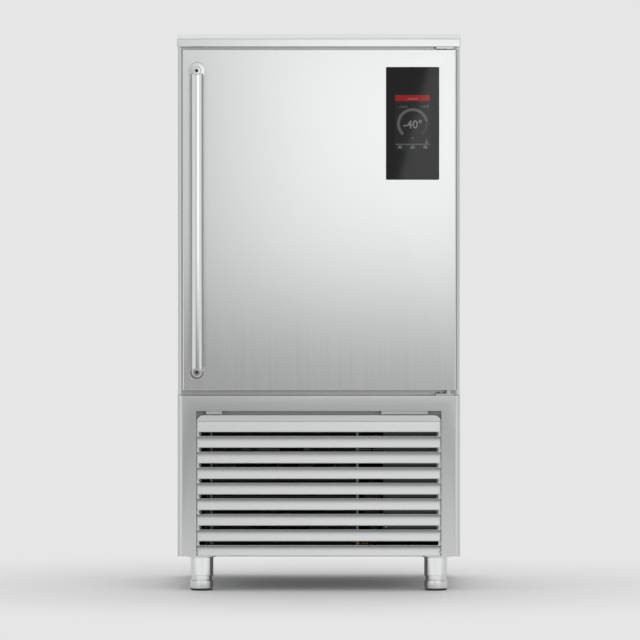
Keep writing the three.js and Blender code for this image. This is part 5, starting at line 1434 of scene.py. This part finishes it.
class CHILLER_OT_refrigeration(Builder):
    """Makes the compressor, the liquid receiver, the drier, the pipes and the condensate pan."""

    bl_idname = "chiller.refrigeration"
    bl_label = "Refrigeration"

    def build(self, scene):
        self.compressor()
        self.receiver()
        self.drier()
        for node in ("discharge_pipe", "condenser_outlet_pipe", "liquid_pipe"):
            recut(node, node + "_tube", copper(), subdivide=1)
        recut("suction_pipe", "suction_pipe_tube", insulation_tube(), subdivide=1)
        recut("condensate_pan", "condensate_tray", moulded_grey(), 1.5 * MM)

    def domed(self, r, foot, belt, top, low, high, tuck, steps):
        """A can's profile from pole to pole: a dished foot, a belt at half height and a domed top."""
        below, above = steps
        profile = [(r * (1 - low) + r * low * math.sin(turn), foot + r * low * (1 - math.cos(turn)))
                   for turn in quarter(below)]
        profile += [(r + out, z) for out, z in scaled(belt, (foot + top) / 2)]
        profile += [(r * (1 - high) + r * high * math.cos(turn) - tuck, top - r * high * (1 - math.sin(turn)))
                    for turn in quarter(above)]
        return profile + [(0, top)]

    def compressor(self):
        """A hermetic can with a welded seam, legs on rubber bushings, pipe stubs and a terminal cover."""
        lo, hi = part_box("compressor")
        x, y = centre_of("compressor", "xy")
        r, foot, top = 85 * MM, lo.z + 12 * MM, hi.z - 12 * MM
        seam = [(0, -6), (0.4, -4.5), (3, -3.5), (3, 2.5), (1.6, 3.6), (-0.5, 4.5)]
        bm = bmesh.new()
        turned(bm, "z", (x, y, 0), [(0, foot)] + self.domed(r, foot, seam, top, 0.3, 0.45, 0.5 * MM, (7, 9)), 64)
        block(bm, (x - 24 * MM, lo.y + 3 * MM, foot + 86 * MM), (x + 24 * MM, y - r + 14 * MM, foot + 150 * MM))
        block(bm, (x - 20 * MM, lo.y + 1.4 * MM, foot + 90 * MM), (x + 20 * MM, lo.y + 4 * MM, foot + 146 * MM))
        eased(bm, 2.4 * MM, 3, 70,
              lambda e: e.calc_length() > 20 * MM and all(v.co.y < y - r + 15 * MM for v in e.verts))
        finished(bm, "compressor_can", "cabinet", black_enamel(), ["compressor"])
        half, leg = (hi.x - lo.x) / 2, 24 * MM
        bm = bmesh.new()
        for a, b in ((half, leg), (leg, half)):
            plate(bm, "z", (foot, foot + 4 * MM), rectangle((x - a, y - b), (x + a, y + b)), 20 * MM)
        eased(bm, 0.8 * MM, 2, 60)
        finished(bm, "compressor_legs", "cabinet", black_enamel())
        out = half - 14 * MM
        bolts = [(x + out, y, 0), (x - out, y, 0), (x, y + out, 0), (x, y - out, 0)]
        grommet = [(0, 0), (13, 0), (14, 1.5), (14, 4), (11, 6), (14, 8), (14, 11), (13, 12), (0, 12)]
        bm = bmesh.new()
        for bolt in bolts:
            turned(bm, "z", bolt, scaled(grommet, lo.z), 24)
        finished(bm, "compressor_grommets", "cabinet", rubber())
        suction = foot + 161 * MM
        nut = [(0, 4), (8, 4), (8, 5.5), (6, 5.5), (6, 10), (5, 11), (3, 11), (3, 14), (0, 14)]
        bm = bmesh.new()
        rod(bm, (x, y, top - 4 * MM), (x, y, hi.z), 6 * MM)
        rod(bm, (x + r - 6 * MM, y, suction), (x + r + 12 * MM, y, suction), 9 * MM)
        hoop(bm, "z", (x, y, top + 1 * MM), 7 * MM, 2 * MM, 24, 8)
        for bolt in bolts:
            turned(bm, "z", bolt, scaled(nut, foot), 12)
        finished(bm, "compressor_stubs_and_nuts", "cabinet", copper())

    def receiver(self):
        """A drawn can with a foot ring, a weld bead and two stubs."""
        lo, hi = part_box("liquid_receiver")
        x, r = centre_of("liquid_receiver", "x")[0], 48 * MM
        y, foot, top = hi.y - r, lo.z + 12 * MM, hi.z - 12 * MM
        ring = [(0, lo.z), (r * 0.66, lo.z), (r * 0.7, lo.z), (r * 0.7, foot - 1 * MM)]
        bead = [(-0.6, -3), (0, -2), (0, 2), (-0.6, 3)]
        can = self.domed(r, foot, bead, top, 0.4, 0.45, 0.6 * MM, (6, 8))
        bm = bmesh.new()
        turned(bm, "z", (x, y, 0), ring + can[1:], 48)
        finished(bm, "receiver_can", "cabinet", black_enamel(), ["liquid_receiver"])
        port = lo.z + 115.5 * MM
        bm = bmesh.new()
        rod(bm, (x, y, top - 2 * MM), (x, y, hi.z), 5 * MM)
        rod(bm, (x, y - r - 12 * MM, port), (x, y - r + 4 * MM, port), 5 * MM)
        hoop(bm, "z", (x, y, top + 1 * MM), 6 * MM, 1.6 * MM, 24, 8)
        finished(bm, "receiver_stubs", "cabinet", copper())

    def drier(self):
        """A spun copper drier with swaged necks and rolled beads."""
        lo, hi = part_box("filter_drier")
        r = (hi.x - lo.x) / 2
        neck = [(-r, 0), (7 * MM - r, 0), (7 * MM - r, 8 * MM), (9 * MM - r, 10 * MM), (-3 * MM, 16 * MM),
                (-0.6 * MM, 20 * MM), (0, 24 * MM), (0, 30 * MM), (-1 * MM, 31.5 * MM), (0, 33 * MM)]
        bm = bmesh.new()
        turned(bm, "z", (*centre_of("filter_drier", "xy"), 0),
               [(r + out, lo.z + t) for out, t in neck] + [(r + out, hi.z - t) for out, t in reversed(neck)], 40)
        finished(bm, "drier_shell", "cabinet", copper(), ["filter_drier"])


class CHILLER_OT_electrics(Builder):
    """Makes the electrical box with its cover and power board, and the gland of the mains lead."""

    bl_idname = "chiller.electrics"
    bl_label = "Electrics"

    def build(self, scene):
        recut("electrical_box", "electrical_housing", galvanised(), 0.5 * MM)
        self.cover()
        self.board()
        self.gland()

    def cover(self):
        """A lid with a raised field and four screws, in black enamel that is painted shade for the dark behind the
        louvre slots.
        """
        lo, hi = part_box("electrical_cover")
        bm = bmesh.new()
        plate(bm, "y", (lo.y, hi.y), outline(lo, hi), 4 * MM)
        plate(bm, "y", (lo.y - 2 * MM, lo.y + 0.5 * MM), outline(lo, hi, inset=14 * MM), 10 * MM)
        eased(bm, 0.7 * MM, 2, 60)
        finished(bm, "electrical_lid", "cabinet", black_enamel(), ["electrical_cover"])
        bm = bmesh.new()
        screw_heads(bm, "y", lo.y, -2 * MM, outline(lo, hi, inset=7 * MM), 3.5 * MM)
        finished(bm, "electrical_lid_screws", "cabinet", satin_steel())

    def board(self):
        """The laminate on its standoffs, with transformer, capacitors, relays and terminals."""
        lo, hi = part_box("power_board")
        front = hi.y - 11 * MM
        corners = outline(lo, hi, inset=8 * MM)

        def across(share):
            """A place along the board's width."""
            return lo.x + (hi.x - lo.x) * share

        def part(left, right, foot, top, height, root=0.0):
            """A box on the board, its sides given as shares of the board and its height in millimetres."""
            up = [lo.z + (hi.z - lo.z) * share for share in (foot, top)]
            block(bm, (across(left), front - height * MM, up[0]), (across(right), front - root * MM, up[1]))

        bm = bmesh.new()
        plate(bm, "y", (front, front + 1.6 * MM), outline(lo, hi), 3 * MM, [(spot, 2.2 * MM) for spot in corners], 4)
        finished(bm, "board_laminate", "cabinet", laminate(), ["power_board"])
        bm = bmesh.new()
        for at in (0.1, 0.4, 0.7):
            part(at, at + 0.2, 0.24, 0.4, 24)
        for at in (0.08 + 0.07 * i for i in range(12)):
            part(at, at + 0.062, 0.05, 0.12, 16)
        eased(bm, 0.8 * MM, 2, 60)
        finished(bm, "board_relays_and_terminals", "cabinet", moulded_black())
        bm = bmesh.new()
        part(0.1, 0.45, 0.7, 0.9, 34)
        part(0.16, 0.39, 0.68, 0.92, 40, 4)
        for x, z in corners:
            rod(bm, (x, front - 1 * MM, z), (x, hi.y, z), 3 * MM, 12)
        eased(bm, 1 * MM, 2, 60, lambda e: e.calc_length() > 12 * MM)
        can = scaled([(0, 22), (8, 22), (9.5, 20.5), (9.5, 3), (8.8, 2), (9.5, 0), (0, 0)], front, -1)
        for at in (0.64, 0.76, 0.88):
            turned(bm, "y", (across(at), 0, lo.z + (hi.z - lo.z) * 0.84), can, 24)
        finished(bm, "board_transformer_and_cans", "cabinet", galvanised())

    def gland(self):
        """A six-sided nut on both sides of the rear sheet and a ribbed cap, bored for the lead."""
        lo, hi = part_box("cable_gland")
        x, z = centre_of("cable_gland", "xz")
        r, bore = 13.6 * MM, 6 * MM
        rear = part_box("rear_panel")[1].y
        bm = bmesh.new()
        for a, b in ((lo.y, rear - 1.5 * MM), (rear + 0.3 * MM, rear + 6 * MM)):
            ring = circle(bm, "y", a, (x, z), r, 6) + circle(bm, "y", a, (x, z), bore, 24)
            pulled(bm, filled(bm, ring, "y"), (0, b - a, 0))
        eased(bm, 0.8 * MM, 2, 50)
        foot, shoulder, neck = rear + 5 * MM, rear + 11 * MM, bore + 0.5 * MM
        cap = [(bore, foot), (r - 1 * MM, foot), (r - 1 * MM, shoulder)]
        cap += [(neck + (r - 1 * MM - neck) * math.cos(turn), shoulder + (hi.y - shoulder) * math.sin(turn))
                for turn in quarter(6, 1)]
        turned(bm, "y", (x, 0, z), cap + [(bore, hi.y), (bore, foot)], 40)
        sleeve = [(bore, lo.y + 1 * MM), (9 * MM, lo.y + 1 * MM), (9 * MM, rear + 4 * MM), (bore, rear + 4 * MM)]
        turned(bm, "y", (x, 0, z), sleeve + sleeve[:1], 24)
        finished(bm, "mains_gland", "cabinet", moulded_black(), ["cable_gland"])


class CHILLER_OT_stage(Builder):
    """Sets the camera, the lamps, the floor and the backdrop."""

    bl_idname = "chiller.stage"
    bl_label = "Stage"

    def build(self, scene):
        stage = scene.chiller_stage
        self.camera(scene, stage)
        self.backdrop(scene, stage)
        self.floor(stage)
        self.lamps(scene, stage)
        scene.view_settings.view_transform = "Standard"

    def camera(self, scene, stage):
        """A long lens nearly level with the middle of the door, as in the photograph."""
        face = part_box("door_skin")[0].y
        aim = Vector((0.0033, face, stage.aim))
        eye = Vector((0.0033, face - stage.distance, stage.eye))
        data = bpy.data.cameras.new("camera")
        data.sensor_width = 36
        data.lens = data.sensor_width * (aim - eye).length / stage.frame_width
        data.clip_end = 200
        camera = bpy.data.objects.new("camera", data)
        camera.location = eye
        camera.rotation_euler = (aim - eye).to_track_quat("-Z", "Y").to_euler()
        scene.collection.objects.link(camera)
        scene.camera = camera

    def backdrop(self, scene, stage):
        """An even pale surround for the camera and for reflections, and a plain light for the rest."""
        world = bpy.data.worlds.new("studio")
        scene.world = world
        world.use_nodes = True
        tree = world.node_tree
        tree.nodes.clear()
        path = add(tree, "ShaderNodeLightPath").outputs
        seen = joined(tree, "MAXIMUM", path["Is Camera Ray"], path["Is Glossy Ray"])
        seen = joined(tree, "MAXIMUM", seen, path["Is Transmission Ray"])
        pale = add(tree, "ShaderNodeBackground", links={"Color": grey(stage.backdrop), "Strength": 1.0})
        plain = add(tree, "ShaderNodeBackground", links={"Color": grey(1.0), "Strength": stage.ambient})
        both = add(tree, "ShaderNodeMixShader", links={0: seen, 1: plain.outputs[0], 2: pale.outputs[0]})
        add(tree, "ShaderNodeOutputWorld", links={"Surface": both.outputs[0]})

    def floor(self, stage):
        """A wide pale disc that keeps the shadow near the feet and fades into the backdrop."""
        bm = bmesh.new()
        bmesh.ops.create_circle(bm, cap_ends=True, radius=60, segments=96)
        material, tree = blank("painted_studio_floor")
        place = add(tree, "ShaderNodeTexCoord").outputs["Object"]
        away = add(tree, "ShaderNodeVectorMath", {"operation": "LENGTH"}, {0: place}).outputs["Value"]
        fade = add(tree, "ShaderNodeMapRange", {"interpolation_type": "SMOOTHSTEP"},
                   {"Value": away, "From Min": 0.5, "From Max": 1.7, "To Min": 0.05, "To Max": 1.0}).outputs[0]
        paint = add(tree, "ShaderNodeBsdfDiffuse", links={"Color": grey(0.93)})
        glow = add(tree, "ShaderNodeEmission", links={"Color": grey(stage.backdrop), "Strength": 1.0})
        both = add(tree, "ShaderNodeMixShader", links={0: fade, 1: paint.outputs[0], 2: glow.outputs[0]})
        add(tree, "ShaderNodeOutputMaterial", links={"Surface": both.outputs[0]})
        placed(bm, "floor", material)

    def lamps(self, scene, stage):
        """A softbox at the right, a lamp above and behind, and the cards that the steel and the glass mirror."""
        self.lamp(scene, "softbox", stage.softbox, (1.6, 2.6), (1.15, -3.0, 1.85), (90, 14.8))
        self.lamp(scene, "overhead", stage.overhead, (3.2, 2.4), (0.0, 3.6, 1.5), (-72, 0))
        front, edge, ceiling, ground = -3.0, -0.6, 3.6, 0.01  # the cards' planes round the cabinet, metres
        slant = [(0.245, 1.10), (0.42, 1.10), (0.42, 1.52), (0.356, 1.52)]
        beside = rectangle((-2.2, ground), (1.6, 2.4))
        cards = [("ceiling_card", "z", ceiling, rectangle((-3, edge), (3, 4)), stage.ceiling),
                 ("ceiling_flag", "z", ceiling + 0.01, rectangle((-3, front), (3, edge)), 0.3 * stage.ceiling),
                 ("graded_card", "y", front, rectangle((-5, ground), (5, 6)), self.graded),
                 ("strip_light", "y", front + 0.02, slant, stage.strip, ("screen_", "control_glass")),
                 ("floor_card", "z", ground + 0.002, rectangle((-4, front), (4, -0.55)), stage.floor_card)]
        for side in (-1, 1):
            cards += [("side_flag", "x", side * 2.6, beside, stage.flag),
                      ("side_fill", "x", side * 2.59, beside, stage.side_fill, ("side_panel",))]
        for name, axis, level, corners, *rest in cards:
            bm = bmesh.new()
            filled(bm, loop(bm, axis, level, corners), axis)
            self.card(name, bm, *rest)
        bm = bmesh.new()
        block(bm, (-0.27, -0.34, 0.002), (0.27, 0.38, 0.09))
        self.card("shade_under_cabinet", bm, 0.1)

    def graded(self, tree):
        """The card's level: dim at knee height, bright from the chest up, falling off towards the left."""
        place = add(tree, "ShaderNodeTexCoord").outputs["Object"]
        place = add(tree, "ShaderNodeSeparateXYZ", links={0: place}).outputs

        def ramp(axis, start, end, low, high, kind="SMOOTHSTEP"):
            """A level that goes from low to high between two places along an axis."""
            return add(tree, "ShaderNodeMapRange", {"interpolation_type": kind},
                       {"Value": place[axis], "From Min": start, "From Max": end, "To Min": low,
                        "To Max": high}).outputs[0]

        level = joined(tree, "ADD", ramp("Z", 0.42, 0.96, 0.27, 1.66), ramp("Z", 0.34, 0.04, 0.0, 0.6))
        level = joined(tree, "ADD", level, ramp("Z", 1.52, 1.85, 0.0, -0.42))
        level = joined(tree, "ADD", level, ramp("Z", 2.2, 3.4, 0.0, -0.84))
        side = joined(tree, "POWER", ramp("X", 0.12, -0.5, 0.0, 1.0, "LINEAR"), 2.0)
        share = joined(tree, "MULTIPLY", ramp("Z", 0.3, 1.1, 0.38, 0.6), ramp("Z", 1.52, 1.95, 1.0, 0.1))
        share = joined(tree, "SUBTRACT", 1.0, joined(tree, "MULTIPLY", side, share))
        level = joined(tree, "MULTIPLY", level, share)
        wing = joined(tree, "ADD", ramp("X", -0.62, -0.98, 0.0, 1.0), ramp("X", 0.62, 0.98, 0.0, 1.0))
        kept = joined(tree, "MULTIPLY", level, joined(tree, "SUBTRACT", 1.0, wing))
        return joined(tree, "ADD", kept, joined(tree, "MULTIPLY", wing, 1.04))

    def card(self, name, bm, level, mirrors=()):
        """A card that only reflections show, or a clear one that only the pieces named by their first words mirror."""
        cloth, tree = blank(name)
        strength = level(tree) if callable(level) else level
        tone = add(tree, "ShaderNodeEmission", links={"Color": grey(1.0), "Strength": strength})
        card = placed(bm, name, cloth)
        if mirrors:
            clear = add(tree, "ShaderNodeBsdfTransparent", links={"Color": grey(1.0)})
            tone = add(tree, "ShaderNodeAddShader", links={0: tone.outputs[0], 1: clear.outputs[0]})
            card.light_linking.receiver_collection = bpy.data.collections.new(name)
            for piece in bpy.context.scene.objects:
                if piece.name.startswith(mirrors):
                    card.light_linking.receiver_collection.objects.link(piece)
        add(tree, "ShaderNodeOutputMaterial", links={"Surface": tone.outputs[0]})
        card.visible_camera = card.visible_diffuse = card.visible_shadow = card.visible_transmission = False

    def lamp(self, scene, name, power, size, place, turn):
        """A rectangular area lamp that the steel doesn't mirror, turned about x, then y, by so many degrees."""
        data = bpy.data.lights.new(name, "AREA")
        data.shape = "RECTANGLE"
        data.size, data.size_y = size
        data.energy = power
        lamp = bpy.data.objects.new(name, data)
        lamp.location = place
        lamp.rotation_euler = (*map(math.radians, turn), 0)
        lamp.visible_glossy = False
        scene.collection.objects.link(lamp)


OPERATORS = [CHILLER_OT_cabinet, CHILLER_OT_door, CHILLER_OT_handle, CHILLER_OT_control, CHILLER_OT_front,
             CHILLER_OT_feet, CHILLER_OT_hinges, CHILLER_OT_chamber, CHILLER_OT_evaporator, CHILLER_OT_condenser,
             CHILLER_OT_refrigeration, CHILLER_OT_electrics, CHILLER_OT_stage]


class CHILLER_PT_panel(bpy.types.Panel):
    """Lists the chiller's operators and their settings in the sidebar."""

    bl_idname = "CHILLER_PT_panel"
    bl_label = "Blast chiller"
    bl_space_type = "VIEW_3D"
    bl_region_type = "UI"
    bl_category = "Chiller"

    def draw(self, context):
        """Shows every setting, then a button for each operator."""
        for name in GROUPS:
            group = getattr(context.scene, name)
            for key in group.__annotations__:
                self.layout.prop(group, key)
        for operator in OPERATORS:
            self.layout.operator(operator.bl_idname)


def register():
    """Registers the settings, the operators and the panel."""
    for group in GROUPS.values():
        bpy.utils.register_class(group)
    for name, group in GROUPS.items():
        setattr(bpy.types.Scene, name, bpy.props.PointerProperty(type=group))
    for operator in OPERATORS:
        bpy.utils.register_class(operator)
    bpy.utils.register_class(CHILLER_PT_panel)


def unregister():
    """Takes them all back in the other order."""
    bpy.utils.unregister_class(CHILLER_PT_panel)
    for operator in reversed(OPERATORS):
        bpy.utils.unregister_class(operator)
    for name in GROUPS:
        delattr(bpy.types.Scene, name)
    for group in reversed(list(GROUPS.values())):
        bpy.utils.unregister_class(group)


def main():
    """Builds every piece, then the stage."""
    register()
    for operator in OPERATORS:
        getattr(bpy.ops.chiller, operator.bl_idname.split(".")[1])()


if __name__ == "__main__":
    main()
